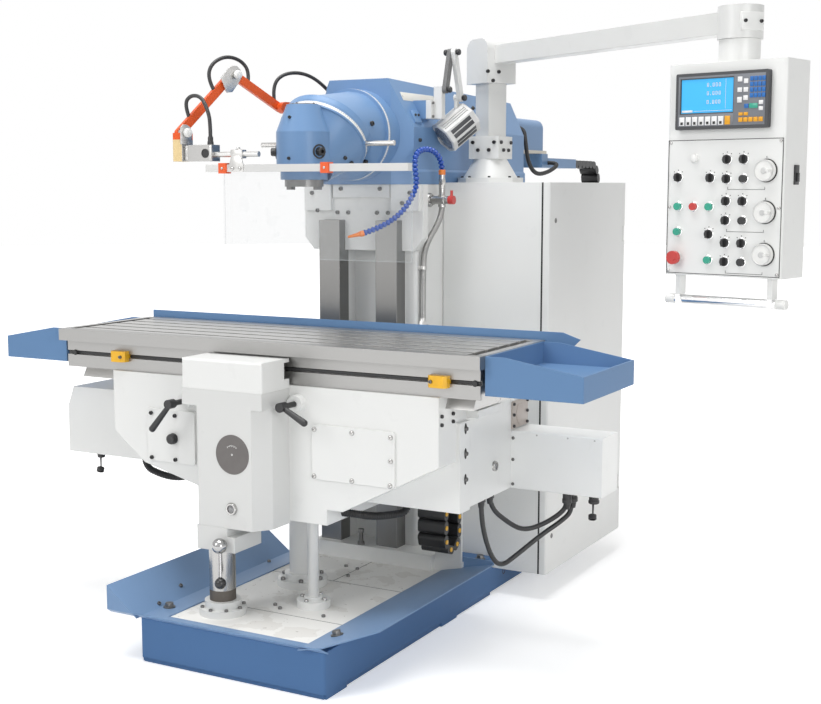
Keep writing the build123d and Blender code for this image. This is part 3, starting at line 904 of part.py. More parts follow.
def cabinet_door():
    x, y = door_axis()
    half = DOOR_T / 2
    door = block((x - half, x + half), (CABINET_FRONT, y), (CABINET_LOW, CABINET_TOP))
    door = fillet(door.edges().filter_by(Axis.Z).group_by(Axis.Y)[0].sort_by(Axis.X)[-1:], CABINET_EDGE)
    door += rod((x, y, CABINET_LOW), (x, y, CABINET_TOP), half)
    for middle in HINGE_Z:
        low, high = span(middle, HINGE_L)
        door -= block((x - half, x + half), (y - DOOR_T, y + half), (low, high))
        door += rod((x, y, low - HINGE_R), (x, y, high + HINGE_R), HINGE_R)
    return door


def pendant_pedestal():
    plate = extrude(RegularPolygon(STAND_PLATE_R, STAND_PLATE_SIDES, major_radius=False), STAND_PLATE_T)
    stand = Pos(STAND_X, STAND_Y, CABINET_TOP) * Rot(0, 0, 180 / STAND_PLATE_SIDES) * plate
    stand += rod((STAND_X, STAND_Y, CABINET_TOP + STAND_PLATE_T), (STAND_X, STAND_Y, STAND_DOME_TOP),
                 STAND_DOME_R, STAND_BLOCK / 2)
    stand += block(span(STAND_X, STAND_BLOCK), span(STAND_Y, STAND_BLOCK), (STAND_DOME_TOP, STAND_TOP))
    return stand - rod((STAND_X, STAND_Y, STAND_TOP - STAND_BORE_L - WAY_GAP), (STAND_X, STAND_Y, STAND_TOP),
                       STAND_BORE_R + SHAFT_GAP)


def control_arm():
    arm = block(span(0, MAST), span(0, MAST), (STAND_TOP + WAY_GAP, MAST_TOP))
    arm += rod((0, 0, STAND_TOP - STAND_BORE_L), (0, 0, MAST_TOP), STAND_BORE_R)
    elbow = block(span(0, ELBOW_SIZE), span(0, ELBOW_SIZE), (MAST_TOP, ELBOW_TOP))
    arm += fillet(elbow.edges().filter_by(Axis.Y).group_by(Axis.Z)[-1], ELBOW_ROUND)
    arm += block((ELBOW_SIZE / 2, ARM_LENGTH), span(0, ARM_W), span(ARM_Z, ARM_H))
    arm += rod((ARM_LENGTH, 0, HUB_LOW), (ARM_LENGTH, 0, HUB_TOP), HUB_R)
    socket = HUB_LOW + HUB_PIN_L + WAY_GAP
    arm -= rod((ARM_LENGTH, 0, HUB_LOW), (ARM_LENGTH, 0, socket), HUB_PIN_R + SHAFT_GAP)
    return ARM_AT * arm


# Pendant group

def on_panel(at, inner, outer, radius):
    """A round piece square to the pendant's face, between two depths from it."""
    x, z = at
    return rod((x, PANEL + inner, z), (x, PANEL - outer, z), radius)


def pendant_box():
    box = Pos(0, 0, -PENDANT_H / 2) * Box(PENDANT_W, PENDANT_D, PENDANT_H)
    box = fillet(box.edges().filter_by(Axis.Z), PENDANT_EDGE)
    neck = HUB_LOW - PENDANT_TOP - WAY_GAP
    box += rod((0, 0, 0), (0, 0, neck), NECK_R)
    box += rod((0, 0, 0), (0, 0, neck + HUB_PIN_L), HUB_PIN_R)
    for at in (START_AT, FEED_AT, CLAMP_AT, COOLANT_AT, STOP_AT, EMERGENCY_AT, *JOG_AT):
        box -= on_panel(at, BUTTON_IN + MUSHROOM_STROKE + WAY_GAP, 0, BUTTON_R + SHAFT_GAP)
    for at in WHEEL_AT:
        box -= on_panel(at, WHEEL_SHAFT_L + WAY_GAP, 0, WHEEL_SHAFT_R + SHAFT_GAP)
    return PENDANT_AT * box


def dro_unit():
    unit = block(DRO_X, (PANEL - DRO_OUT, PANEL), DRO_Z)
    unit = fillet(unit.edges().filter_by(Axis.Y), DRO_EDGE)
    return PENDANT_AT * (unit - block(SCREEN_X, (PANEL - DRO_OUT, PANEL - DRO_OUT + SCREEN_DEEP), SCREEN_Z))


def pendant_handle():
    bar = rod((-HANDLE_HALF, HANDLE_Y, HANDLE_Z), (HANDLE_HALF, HANDLE_Y, HANDLE_Z), HANDLE_R)
    for x in (-HANDLE_ARM_X, HANDLE_ARM_X):
        bar += block(span(x, HANDLE_ARM_T), span(HANDLE_Y, HANDLE_ARM_D),
                     (HANDLE_Z - HANDLE_ARM_D / 2, -PENDANT_H))
    return PENDANT_AT * bar


def selector(at):
    """A selector switch: round base and a finger bar."""
    x, z = at
    knob = on_panel(at, 0, SELECTOR_T, SELECTOR_R)
    face = PANEL - SELECTOR_T
    knob += block(span(x, SELECTOR_BAR_W), (face - SELECTOR_BAR_T, face), span(z, SELECTOR_BAR))
    return PENDANT_AT * knob


def push_button(at):
    return PENDANT_AT * on_panel(at, BUTTON_IN, BUTTON_OUT, BUTTON_R)


def emergency_stop():
    button = on_panel(EMERGENCY_AT, BUTTON_IN, BUTTON_OUT, BUTTON_R)
    return PENDANT_AT * (button + on_panel(EMERGENCY_AT, -BUTTON_OUT, BUTTON_OUT + MUSHROOM_T, MUSHROOM_R))


def handwheel(at):
    wheel = on_panel(at, WHEEL_SHAFT_L, WHEEL_OFF, WHEEL_SHAFT_R)
    wheel += on_panel(at, -WHEEL_OFF, WHEEL_OFF + WHEEL_T, WHEEL_R)
    crank = (at[0] + CRANK_AT, at[1])
    return PENDANT_AT * (wheel + on_panel(crank, -WHEEL_OFF, WHEEL_OFF + WHEEL_T + CRANK_L, CRANK_R))


# Energy chains and hoses

def chain(start, away, side, first, radius, last, x, thick, links, stud):
    """Links along a run, a half turn and a run back, in a plane across X."""
    start, away, side = Vector(start), Vector(away), Vector(side)
    pitch = (first + math.pi * radius + last) / links
    pieces = []
    for index in range(links):
        along = (index + 0.5) * pitch
        turn = min(max((along - first) / radius, 0.0), math.pi)
        beyond = max(along - first - math.pi * radius, 0.0)
        centre = start + away * (min(along, first) + radius * math.sin(turn) - beyond)
        centre += side * (radius * (1 - math.cos(turn)))
        heading = away * math.cos(turn) + side * math.sin(turn)
        plane = Plane((x[0], centre.Y, centre.Z), x_dir=heading, z_dir=(1, 0, 0))
        piece = extrude(plane * SlotOverall(pitch - LINK_GAP, thick), x[1] - x[0])
        if stud:
            piece += rod((x[1], centre.Y, centre.Z), (x[1] + STUD_OUT, centre.Y, centre.Z), STUD_R)
        pieces.append(piece)
    return pieces


def knee_chain():
    first, last = KNEE_WING_LOW - KNEE_CHAIN_BEND, KNEE_CHAIN_END - KNEE_CHAIN_BEND
    return chain((0, KNEE_CHAIN_Y, KNEE_WING_LOW), (0, 0, -1), (0, 1, 0), first, KNEE_CHAIN_R, last,
                 KNEE_CHAIN_X, KNEE_CHAIN_T, KNEE_CHAIN_LINKS, True)


def ram_chain():
    first, last = RAM_CHAIN_BEND - CABLE_BOX_Y[1], RAM_CHAIN_BEND - COLUMN_BACK - BED_WALL
    return chain((0, CABLE_BOX_Y[1], RAM_CHAIN_HIGH), (0, 1, 0), (0, 0, -1), first, RAM_CHAIN_R, last,
                 RAM_CHAIN_X, RAM_CHAIN_T, RAM_CHAIN_LINKS, False)


def build():
    os.makedirs("parts", exist_ok=True)
    save("base_casting", base_casting())
    save("chip_tray", chip_tray())
    save("support_post", support_post())
    save("screw_tubes", screw_tube(), guide_tube())
    save("column_casting", column_casting())
    save("y_screw", y_screw())
    save("knee_casting", knee_casting())
    save("z_screw", z_screw())
    save("front_housing", front_housing())
    save("clamp_block", clamp_block())
    save("knee_covers", top_cover(), left_plate(), access_plate(PLATE_RIGHT_X, PLATE_RIGHT_Z))
    save("clamp_lever_left", clamp_lever(LEVER_BOSS_LEFT, LEVER_LEFT_RUN, LEVER_LEFT_DROP))
    save("clamp_lever_right", clamp_lever(LEVER_BOSS_RIGHT, LEVER_RIGHT_RUN, LEVER_RIGHT_DROP))
    save("ball_lever", ball_lever())
    save("drive_box_left", drive_box_left())
    save("drive_box_right", drive_box_right())
    save("knee_cables", *knee_cables())
    save("table", table())
    save("x_screw", x_screw())
    save("trip_dogs", trip_dog(DOG_LEFT), trip_dog(DOG_RIGHT))
    save("rear_guard", rear_guard())
    save("end_trays", end_tray(TABLE_LEFT, PAN_LEFT_END), end_tray(TABLE_RIGHT, PAN_RIGHT_END))
    save("ram_body", ram_body())
    save("rear_housings", motor_housing(), motor_shelf(), cable_box())
    save("ram_hose", tube("ram hose", RAM_HOSE_ROUTE, RAM_HOSE_R))
    save("swivel_head", swivel_head())
    save("milling_head", milling_head())
    save("spindle", spindle())
    save("guard_arm_inner", guard_arm_inner())
    save("guard_arm_outer", guard_arm_outer())
    save("guard_rail", guard_rail())
    save("guard_screen", guard_screen())
    save("lamp_lower_arm", lamp_lower_arm())
    save("lamp_upper_arm", lamp_upper_arm())
    save("lamp_head", lamp_head())
    save("coolant_line", *coolant_line())
    save("valve_handle", valve_handle())
    save("coolant_hose", *coolant_hose())
    save("cabinet_case", cabinet_case())
    save("cabinet_door", cabinet_door())
    save("pendant_pedestal", pendant_pedestal())
    save("control_arm", control_arm())
    save("pendant_box", pendant_box())
    save("dro_unit", dro_unit())
    save("pendant_handle", pendant_handle())
    save("selector_knobs", *[selector(at) for at in SELECTOR_AT])
    save("start_button", push_button(START_AT))
    save("feed_button", push_button(FEED_AT))
    save("clamp_button", push_button(CLAMP_AT))
    save("coolant_button", push_button(COOLANT_AT))
    save("stop_button", push_button(STOP_AT))
    save("emergency_stop", emergency_stop())
    for axis, jog, wheel in zip("xyz", JOG_AT, WHEEL_AT):
        save(f"jog_button_{axis}", push_button(jog))
        save(f"handwheel_{axis}", handwheel(wheel))
    save("knee_chain", *knee_chain())
    save("ram_chain", *ram_chain())


build()
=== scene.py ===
"""Finishes, fittings and lines of a universal milling machine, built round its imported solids.

Places and sizes are in millimetres in the machine's frame and become metres in the meshes.
X runs along the table to the right, Y to the back and Z up from the floor.
"""
import math

import bmesh
import bpy
from bpy.props import FloatProperty, FloatVectorProperty, IntProperty, PointerProperty
from mathutils import Matrix, Vector


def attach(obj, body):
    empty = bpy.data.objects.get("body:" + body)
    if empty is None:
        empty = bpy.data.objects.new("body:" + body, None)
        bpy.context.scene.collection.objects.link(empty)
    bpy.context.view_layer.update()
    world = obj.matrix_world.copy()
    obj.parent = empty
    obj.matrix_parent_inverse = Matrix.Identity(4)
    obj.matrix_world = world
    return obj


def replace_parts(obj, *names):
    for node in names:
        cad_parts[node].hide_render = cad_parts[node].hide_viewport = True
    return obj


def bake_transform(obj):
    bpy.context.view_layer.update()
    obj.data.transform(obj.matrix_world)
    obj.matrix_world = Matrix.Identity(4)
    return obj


bl_info = {
    "name": "Milling machine dressing",
    "version": (1, 0, 0),
    "blender": (4, 5, 0),
    "location": "View3D > Sidebar > Mill",
    "description": "Adds finishes, fittings, lines and a plain stage to the packed milling machine",
    "category": "Object",
}

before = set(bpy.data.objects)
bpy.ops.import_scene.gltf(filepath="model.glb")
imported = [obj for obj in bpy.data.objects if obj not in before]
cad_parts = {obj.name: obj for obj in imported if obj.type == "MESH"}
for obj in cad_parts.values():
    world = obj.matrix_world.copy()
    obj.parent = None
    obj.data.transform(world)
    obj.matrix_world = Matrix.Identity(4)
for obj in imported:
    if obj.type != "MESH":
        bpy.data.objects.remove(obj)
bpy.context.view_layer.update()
MM = 0.001
FAR = 1.0e6
FINISHES = {}
UP, RIGHT, OUT, BACK = Vector((0, 0, 1)), Vector((1, 0, 0)), Vector((0, -1, 0)), Vector((0, 1, 0))

# Places taken from the machine's castings
POST_AT, TUBE_AT, GUIDE_AT = (-60.0, -746.0), (-10.0, -362.0), (160.0, -555.0)
PLATE_FACE, HOUSING_FACE, KNEE_SIDE, DRIVE_FACE = -664.0, -807.0, 668.0, -138.0
GROOVE_FACE, DOG_FACE, GROOVE_Z = -634.0, -674.0, 932.0
COLUMN_HEAD_FACE, GIB_FACE, BED_PLATE_FACE = 40.0, 22.0, 28.0
VALVE_AT, VALVE_FLANGE = Vector((208, 150, 1450)), 12.0
DIAL_AT, DISC_THICK = Vector((31, HOUSING_FACE, 678)), 2.2
SWIVEL_AT, SWIVEL_WAY = Vector((0, -32, 1677)), Vector((0, -1, 0))
TILT_AT, TILT_WAY = Vector((0, -209, 1674)), Vector((0, -1, -1)).normalized()
SWIVEL_R, TILT_R = 158.0, 155.0
NOSE_AT, NOSE_TOP = (0, -341), 1765.0
RAM_SLOPE, RAM_SLOPE_OUT = Vector((-0.42, 0, 0.91)), Vector((0.91, 0, 0.42))
SHOULDER, ELBOW = Vector((-245, -110, 1773)), Vector((-299, -307, 1876))
WRIST = Vector((-357, -522, 1674))
GUARD_WAY = Vector((WRIST.y - SHOULDER.y, SHOULDER.x - WRIST.x, 0)).normalized()
SWITCH_FRONT, SWITCH_TOP = -522.0, 1634.0
LAMP_AT, LAMP_WAY = Vector((268, 250, 1708)), Vector((0.5, 0.6, 0.62)).normalized()
STAND_AT, STAND_HALF = Vector((322, 425, 0)), 60.0
ARM_TURN = math.radians(-28.24)
ARM_LENGTH = 1211.0
HUB_AT = STAND_AT + Vector((math.cos(ARM_TURN), math.sin(ARM_TURN), 0)) * ARM_LENGTH
HUB_OUT = Vector((0.72, -0.69, 0)).normalized()
PENDANT = Matrix.Translation(HUB_AT + Vector((0, 0, 1855))) @ Matrix.Rotation(math.radians(-13.5), 4, "Z")

# Routes of the loose lines
CABLE_LONG = (
    (655, -335, 510), (655, -335, 440), (664, -290, 322), (682, -245, 268), (716, -190, 300),
    (775, -130, 360), (830, -75, 405), (858, -60, 440), (858, -60, 508))
CABLE_SHORT = (
    (655, -270, 510), (655, -270, 470), (692, -205, 408), (728, -165, 378), (775, -120, 392),
    (828, -92, 430), (850, -90, 462), (850, -90, 508))
HOSE_RIGHT = (
    (278, -560, 472), (322, -560, 472), (362, -505, 456), (405, -450, 456), (436, -420, 462),
    (436, -420, 510))
HOSE_LEFT = (
    (-640, -420, 545), (-640, -420, 500), (-590, -400, 474), (-540, -380, 462), (-480, -370, 472),
    (-442.34, -370, 528.5), (-430, -370, 576.94))
RAM_HOSE = (
    (110, 1075, 1745), (168, 1075, 1745), (186, 1056, 1680), (190, 1074, 1595), (190, 1160, 1545),
    (190, 1315, 1562), (190, 1424, 1601), (134, 1424, 1601))
CONDUIT = ((262, 150, 1425), (262, 146, 1385), (224, 92, 1290), (222.5, 80, 1200), (222.5, 80, 1010))
COOLANT = (
    (262, 150, 1545), (262, 150, 1582), (254, 112, 1622), (236, 62, 1630), (229, 12, 1610),
    (234, -2, 1560), (241, 4, 1510), (231, -14, 1460), (205, -48, 1404), (160, -110, 1358),
    (119, -160, 1339))
NOZZLE_END = (80, -195, 1327)
SHOULDER_CABLE = (
    (-258, -132, 1796), (-264, -134, 1846), (-248, -98, 1892), (-208, -28, 1902), (-170, 42, 1868),
    (-138, 84, 1812))
ELBOW_CABLE = (
    (-340, -375, 1824), (-350, -394, 1862), (-347, -374, 1912), (-328, -318, 1940), (-310, -258, 1930),
    (-296, -228, 1894), (-289, -246, 1856))
SWITCH_CABLE = (
    (-368, -473, 1724), (-374, -492, 1770), (-352, -484, 1800), (-306, -484, 1792), (-272, -494, 1738),
    (-262, -500, 1700), (-262, -500, 1660))

# A plain line has a radius, a ribbed hose a crest, depth and pitch, a jointed hose a waist, crest and pitch
KNEE_CABLE_R, GUARD_CABLE_R = 8.0, 6.4
KNEE_RIBS, RAM_RIBS, CONDUIT_RIBS = (13.0, 2.0, 6.0), (9.0, 0.8, 4.0), (11.0, 1.4, 5.2)
HOSE_JOINTS = (4.6, 10.5, 15.0)

# Energy chains: the body that pulls, the axes along and across the run, the moving end, bend and fixed end
# along it, where the strands part across it, the side of the fixed strand, and the bend's share of the motion
CHAINS = {
    "knee_chain": ("knee", 2, 1, (510, 300, 430), -70, 1, 0.567),
    "ram_chain": ("ram", 1, 2, (1757, 1990, 924), 1521, -1, 0.363),
}

# Knobs of the work lamp: the body that each rides on, its place and its way
LAMP_KNOBS = {
    "lamp_foot_knob": ("lamp_lower_arm", (275.5, 163, 1836), RIGHT),
    "lamp_left_knob": ("lamp_lower_arm", (260.5, 200, 1968), -RIGHT),
    "lamp_top_knob": ("lamp_upper_arm", (290.8, 200, 1968), RIGHT),
    "lamp_end_knob": ("lamp_upper_arm", (290.8, 250, 1812), RIGHT),
}

# Places on the control panel, in its own frame, and the front and back of the flat pieces on it
PANEL, WHEEL_FACE = -73.0, -90.0
BUTTONS = (
    (-147, -416), (-95, -416), (-43, -416), (-147, -491), (-43, -572), (65, -335), (65, -455), (65, -575))
SELECTORS = (
    (-150, -330), (-43, -332), (10, -279), (63, -279), (10, -335), (10, -399), (63, -399), (10, -455),
    (-43, -496), (10, -520), (63, -520), (10, -575))
WHEELS = {"x": (135, -312), "y": (135, -430), "z": (135, -550)}
BORDER_DEPTH, BRACKET_DEPTH = (PANEL - 0.5, PANEL + 0.5), (PANEL - 0.4, PANEL + 0.4)
POINTER_DEPTH = (PANEL - 0.6, PANEL + 0.4)
FACE_DEPTH, SCREEN_DEPTH, DIGIT_DEPTH = (-93.6, -92.6), (-90.0, -88.8), (-90.5, -89.7)
KEY_DEPTH, KEY_MARK_DEPTH = (-95.6, -93.0), (-96.1, -95.4)
FOOT_KEYS, FOOT_KEY_X, FOOT_KEY_PITCH, FOOT_KEY_Z = 7, -130.0, 21.2, -168.0

# Seams between the plates on the deck, and half the width of a seam
SEAM_FRONT, SEAM_CROSS, SEAM_MIDDLE, SEAM_LEFT, SEAM_HALF = -670.0, -290.0, 70.0, -20.0, 1.4

# Rays that end in the picture: straight, by a glossy surface and through a clear one
SIGHT_RAYS = ("Is Camera Ray", "Is Glossy Ray", "Is Transmission Ray")

# The machine's nodes by their finish
FINISH_NODES = {
    "aluminium": "lamp_head",
    "ball_chrome": "ball_lever",
    "base_enamel": "base_casting",
    "black_plastic": "clamp_lever_left clamp_lever_right selector_knobs "
                     "jog_button_x jog_button_y jog_button_z",
    "black_rubber": "ram_hose",
    "blue_cast": "swivel_head",
    "blue_enamel": "rear_guard end_trays",
    "blue_hose": "coolant_hose",
    "cabinet_enamel": "cabinet_case",
    "cable_black": "knee_cables",
    "chain_black": "knee_chain ram_chain",
    "clear_sheet": "guard_screen",
    "column_enamel": "column_casting",
    "conduit_steel": "coolant_line",
    "cover_enamel": "knee_covers",
    "dark_case": "dro_unit",
    "drive_lit_enamel": "drive_box_right",
    "green_plastic": "start_button feed_button clamp_button coolant_button",
    "handle_chrome": "pendant_handle",
    "head_enamel": "milling_head",
    "housing_shaded_enamel": "front_housing clamp_block",
    "lamp_grey": "lamp_lower_arm",
    "orange_enamel": "guard_arm_inner",
    "outer_arm_enamel": "guard_arm_outer",
    "post_steel": "support_post",
    "rail_aluminium": "guard_rail",
    "ram_enamel": "ram_body",
    "rear_enamel": "rear_housings",
    "red_plastic": "valve_handle stop_button emergency_stop",
    "spindle_steel": "spindle",
    "table_steel": "table",
    "tray_enamel": "chip_tray",
    "tube_enamel": "screw_tubes control_arm",
    "turned_steel": "x_screw y_screw z_screw",
    "white_cast": "knee_casting",
    "white_enamel": "drive_box_left lamp_upper_arm cabinet_door pendant_pedestal pendant_box",
    "white_plastic": "handwheel_x handwheel_y handwheel_z",
    "yellow_plastic": "trip_dogs",
}


class PaintSettings(bpy.types.PropertyGroup):
    """Colours of the painted and moulded surfaces."""
    blue: FloatVectorProperty(name="Blue", description="Enamel of ram, head and table guards",
                              subtype="COLOR", default=(0.165, 0.295, 0.51), min=0, max=1)
    # The base's blue is darker than the blue of ram and head: painted shade on the base's faces.
    base: FloatVectorProperty(name="Base blue", description="Enamel of the base", subtype="COLOR",
                              default=(0.085, 0.175, 0.35), min=0, max=1)
    tray: FloatVectorProperty(name="Tray blue", description="Enamel of the chip tray", subtype="COLOR",
                              default=(0.185, 0.30, 0.49), min=0, max=1)
    white: FloatVectorProperty(name="White", description="Enamel of column, knee and cabinet",
                               subtype="COLOR", default=(0.80, 0.805, 0.79), min=0, max=1)
    orange: FloatVectorProperty(name="Orange", description="Enamel of the guard's arms", subtype="COLOR",
                                default=(0.80, 0.115, 0.025), min=0, max=1)
    steel: FloatVectorProperty(name="Steel", description="Ground and turned steel", subtype="COLOR",
                               default=(0.46, 0.455, 0.445), min=0, max=1)
    black: FloatVectorProperty(name="Black", description="Black plastic and rubber", subtype="COLOR",
                               default=(0.018, 0.018, 0.019), min=0, max=1)
    yellow: FloatVectorProperty(name="Yellow", description="Stops and chain studs", subtype="COLOR",
                                default=(0.85, 0.46, 0.02), min=0, max=1)
    hose: FloatVectorProperty(name="Hose", description="Jointed coolant hose", subtype="COLOR",
                              default=(0.006, 0.07, 0.40), min=0, max=1)


class FittingSettings(bpy.types.PropertyGroup):
    """Sizes of fasteners and small fittings."""
    cap_head: FloatProperty(name="Cap screw head", description="Diameter of a socket head, in metres",
                            default=0.013, min=0.004, max=0.04, unit="LENGTH")
    hex_head: FloatProperty(name="Hexagon head", description="Width of a hexagon head, in metres",
                            default=0.024, min=0.006, max=0.06, unit="LENGTH")
    disc: FloatProperty(name="Dial disc", description="Radius of the disc on the housing, in metres",
                        default=0.062, min=0.02, max=0.1, unit="LENGTH")
    scale_marks: IntProperty(name="Scale marks", description="Marks round each scale of the head",
                             default=120, min=12, max=360)


class StageSettings(bpy.types.PropertyGroup):
    """Camera, light and floor."""
    eye: FloatVectorProperty(name="Camera", description="Where the camera stands", subtype="TRANSLATION",
                             default=(2.428, -4.060, 1.499))
    turn: FloatProperty(name="Turn", description="Camera's turn about the upright", subtype="ANGLE",
                        default=math.radians(28.58))
    dip: FloatProperty(name="Dip", description="How far the camera looks down", subtype="ANGLE",
                       default=math.radians(7.148))
    lens: FloatProperty(name="Lens", description="Focal length in millimetres", default=58.0, min=10, max=200)
    ambient: FloatProperty(name="Ambient", description="Light from all round", default=0.33, min=0, max=1)
    key: FloatProperty(name="Key lamp", description="Power of the lamp at the front", default=135.0, min=0,
                       unit="POWER")
    top: FloatProperty(name="Top lamp", description="Power of the lamp overhead", default=240.0, min=0,
                       unit="POWER")
    fill: FloatProperty(name="Fill lamp", description="Power of the lamp at the right", default=120.0, min=0,
                        unit="POWER")
    floor: FloatVectorProperty(name="Floor", description="Colour of the floor", subtype="COLOR",
                               default=(0.93, 0.93, 0.93), min=0, max=1)


# Finishes

class Flow:
    """The value on a socket; arithmetic on it adds Math nodes."""

    def __init__(self, net, socket):
        self.net = net
        self.socket = socket

    def maths(self, operation, *values):
        return self.net.node("ShaderNodeMath", {"operation": operation}, dict(enumerate(values)))

    def __add__(self, other):
        return self.maths("ADD", self, other)

    def __sub__(self, other):
        return self.maths("SUBTRACT", self, other)

    def __rsub__(self, other):
        return self.maths("SUBTRACT", other, self)

    def __mul__(self, other):
        return self.maths("MULTIPLY", self, other)

    def __gt__(self, other):
        return self.maths("GREATER_THAN", self, other)

    def __lt__(self, other):
        return self.maths("LESS_THAN", self, other)

    def __abs__(self):
        return self.maths("ABSOLUTE", self)

    __radd__, __rmul__ = __add__, __mul__


class Net:
    """A node tree being wired."""

    def __init__(self, tree):
        self.tree = tree

    def node(self, kind, settings=None, inputs=None, out=0):
        """Add a node: its settings first, then the values or links of its sockets."""
        node = self.tree.nodes.new(kind)
        for name, value in (settings or {}).items():
            setattr(node, name, value)
        for key, value in (inputs or {}).items():
            self.feed(node.inputs[key], value)
        return Flow(self, node.outputs[out])

    def feed(self, socket, value):
        """Link a flow to a socket, or set the socket's own value."""
        if isinstance(value, Flow):
            self.tree.links.new(value.socket, socket)
        elif hasattr(value, "__len__") and socket.type == "RGBA":
            socket.default_value = (*value[:3], 1.0)
        else:
            socket.default_value = value

    def seen(self):
        """One on a ray that ends in the picture, and none on a ray that only carries light."""
        straight, glossy, through = (self.node("ShaderNodeLightPath", out=name) for name in SIGHT_RAYS)
        return straight + glossy + through


class Finish(Net):
    """One procedural material."""

    def __init__(self, name):
        self.material = bpy.data.materials.new(name)
        self.material.use_nodes = True
        super().__init__(self.material.node_tree)
        self.place = self.node("ShaderNodeTexCoord", out="Object")
        FINISHES[name] = self.material

    def surface(self, **inputs):
        """Feed the shader; names are its sockets with spaces written as underscores."""
        shader = self.tree.nodes["Principled BSDF"]
        for name, value in inputs.items():
            self.feed(shader.inputs[name.replace("_", " ")], value)

    def axis(self, name):
        return self.node("ShaderNodeSeparateXYZ", None, {0: self.place}, out=name)

    def noise(self, scale, detail=2.0, stretch=None):
        place = self.place
        if stretch:
            place = self.node("ShaderNodeVectorMath", {"operation": "MULTIPLY"}, {0: place, 1: stretch})
        return self.node("ShaderNodeTexNoise", None, {"Vector": place, "Scale": scale, "Detail": detail})

    def mix(self, share, first, second):
        return self.node("ShaderNodeMix", {"data_type": "RGBA"}, {0: share, 6: first, 7: second}, out=2)

    def soft_normal(self, radius):
        return self.node("ShaderNodeBevel", {"samples": 6}, {"Radius": radius * MM})

    def edges(self, soft):
        """A mask of the outer and inner edges, from a rounded normal."""
        plain = self.node("ShaderNodeNewGeometry", out="Normal")
        match = self.node("ShaderNodeVectorMath", {"operation": "DOT_PRODUCT"}, {0: soft, 1: plain}, out=1)
        return (1.0 - match) * 3.0

    def bump(self, height, strength, depth, normal=None):
        inputs = {"Strength": strength, "Distance": depth * MM, "Height": height}
        if normal:
            inputs["Normal"] = normal
        return self.node("ShaderNodeBump", None, inputs)

    def overlay(self, extras, tone, roughness, metal=0.0):
        """Lay extras over a finish; the result names the shader's inputs.

        An extra has what makes its mask, a colour or what makes one, its roughness and its share of metal.
        """
        for make_mask, second, second_rough, second_metal in extras:
            mask = make_mask(self)
            tone = self.mix(mask, tone, second(self) if callable(second) else second)
            roughness = roughness + (second_rough - roughness) * mask
            if isinstance(metal, Flow) or second_metal != metal:
                metal = metal + (second_metal - metal) * mask
        return {"Base_Color": tone, "Roughness": roughness, "Metallic": metal}


def shade(colour, factor):
    return tuple(min(1.0, channel * factor) for channel in colour[:3])


def zone(**limits):
    """What makes a mask of the points between limits along x, y and z; None leaves a side open."""
    def make_mask(finish):
        tests = []
        for name, (low, high) in limits.items():
            place = finish.axis(name.upper())
            if low is not None:
                tests.append(place > low * MM)
            if high is not None:
                tests.append(place < high * MM)
        mask = tests[0]
        for test in tests[1:]:
            mask = mask * test
        return mask
    return make_mask


def painted(name, colour, *extras, rough=0.34, cast=0.0, edge=2.2, gloss=0.5):
    """Machine enamel: drifting tone, a paler edge, a little dust and a fine grain, coarser on castings."""
    finish = Finish(name)
    soft = finish.soft_normal(edge)
    drift = finish.noise(2.2, 3.0)
    cloud = finish.noise(14.0, 4.0)
    tone = finish.mix(drift, shade(colour, 0.94), shade(colour, 1.05))
    tone = finish.mix((cloud > 0.66) * 0.10, tone, shade(colour, 0.82))
    # The edge mask lightens the paint: a painted highlight along the edges, and wear.
    tone = finish.mix(finish.edges(soft) * 0.45, tone, shade(colour, 1.22))
    peel = finish.noise(260.0, 2.0) * 0.25 + finish.noise(30.0, 3.0) * cast
    finish.surface(**finish.overlay(extras, tone, drift * 0.10 + (rough - 0.05)), Specular_IOR_Level=gloss,
                   Coat_Weight=0.2 * gloss, Coat_Roughness=0.2, Normal=finish.bump(peel, 0.22, 0.5, soft))


def ground(name, colour, *extras, rough, stretch, band=0.12):
    """Metal with fine lines along one way and slow bands across it."""
    finish = Finish(name)
    soft = finish.soft_normal(0.8)
    lines = finish.noise(9.0, 4.0, stretch)
    bands = finish.noise(2.4, 2.0, tuple(0.35 * part / min(stretch) for part in stretch))
    tone = finish.mix(lines, shade(colour, 0.80), shade(colour, 1.14))
    tone = finish.mix(bands * band, tone, shade(colour, 0.55))
    # The edge mask lightens the metal: a painted highlight along the edges, and wear.
    tone = finish.mix(finish.edges(soft) * 0.5, tone, shade(colour, 1.35))
    finish.surface(**finish.overlay(extras, tone, lines * 0.16 + (rough - 0.08), 1.0),
                   Normal=finish.bump(lines, 0.10, 0.08, soft))


def moulded(name, colour, *extras, rough=0.42, grain=600.0, coat=0.0):
    """Moulded plastic or rubber with a fine grain."""
    finish = Finish(name)
    soft = finish.soft_normal(0.9)
    drift = finish.noise(40.0, 3.0)
    tone = finish.mix(drift, shade(colour, 0.86), shade(colour, 1.14))
    # The edge mask lightens the plastic: a painted highlight along the edges, and wear.
    tone = finish.mix(finish.edges(soft) * 0.35, tone, shade(colour, 1.6))
    finish.surface(**finish.overlay(extras, tone, drift * 0.14 + (rough - 0.07)), Coat_Weight=coat,
                   Coat_Roughness=0.1, Normal=finish.bump(finish.noise(grain, 2.0), 0.2, 0.10, soft))


def deck_tone(finish):
    """Stained white plates with dark seams between them."""
    x, y, half = finish.axis("X"), finish.axis("Y"), SEAM_HALF * MM
    stain = finish.noise(7.0, 6.0)
    tone = finish.mix((stain > 0.56) * 0.25, (0.90, 0.89, 0.86), (0.56, 0.53, 0.48))
    speck = finish.noise(60.0, 3.0)
    tone = finish.mix((speck > 0.70) * 0.5, tone, (0.30, 0.27, 0.23))
    front = (abs(y - SEAM_FRONT * MM) < half) * (x > SEAM_LEFT * MM)
    middle = (abs(x - SEAM_MIDDLE * MM) < half) * (y > SEAM_CROSS * MM)
    cross = abs(y - SEAM_CROSS * MM) < half
    return finish.mix(front + middle + cross, tone, (0.05, 0.05, 0.05))


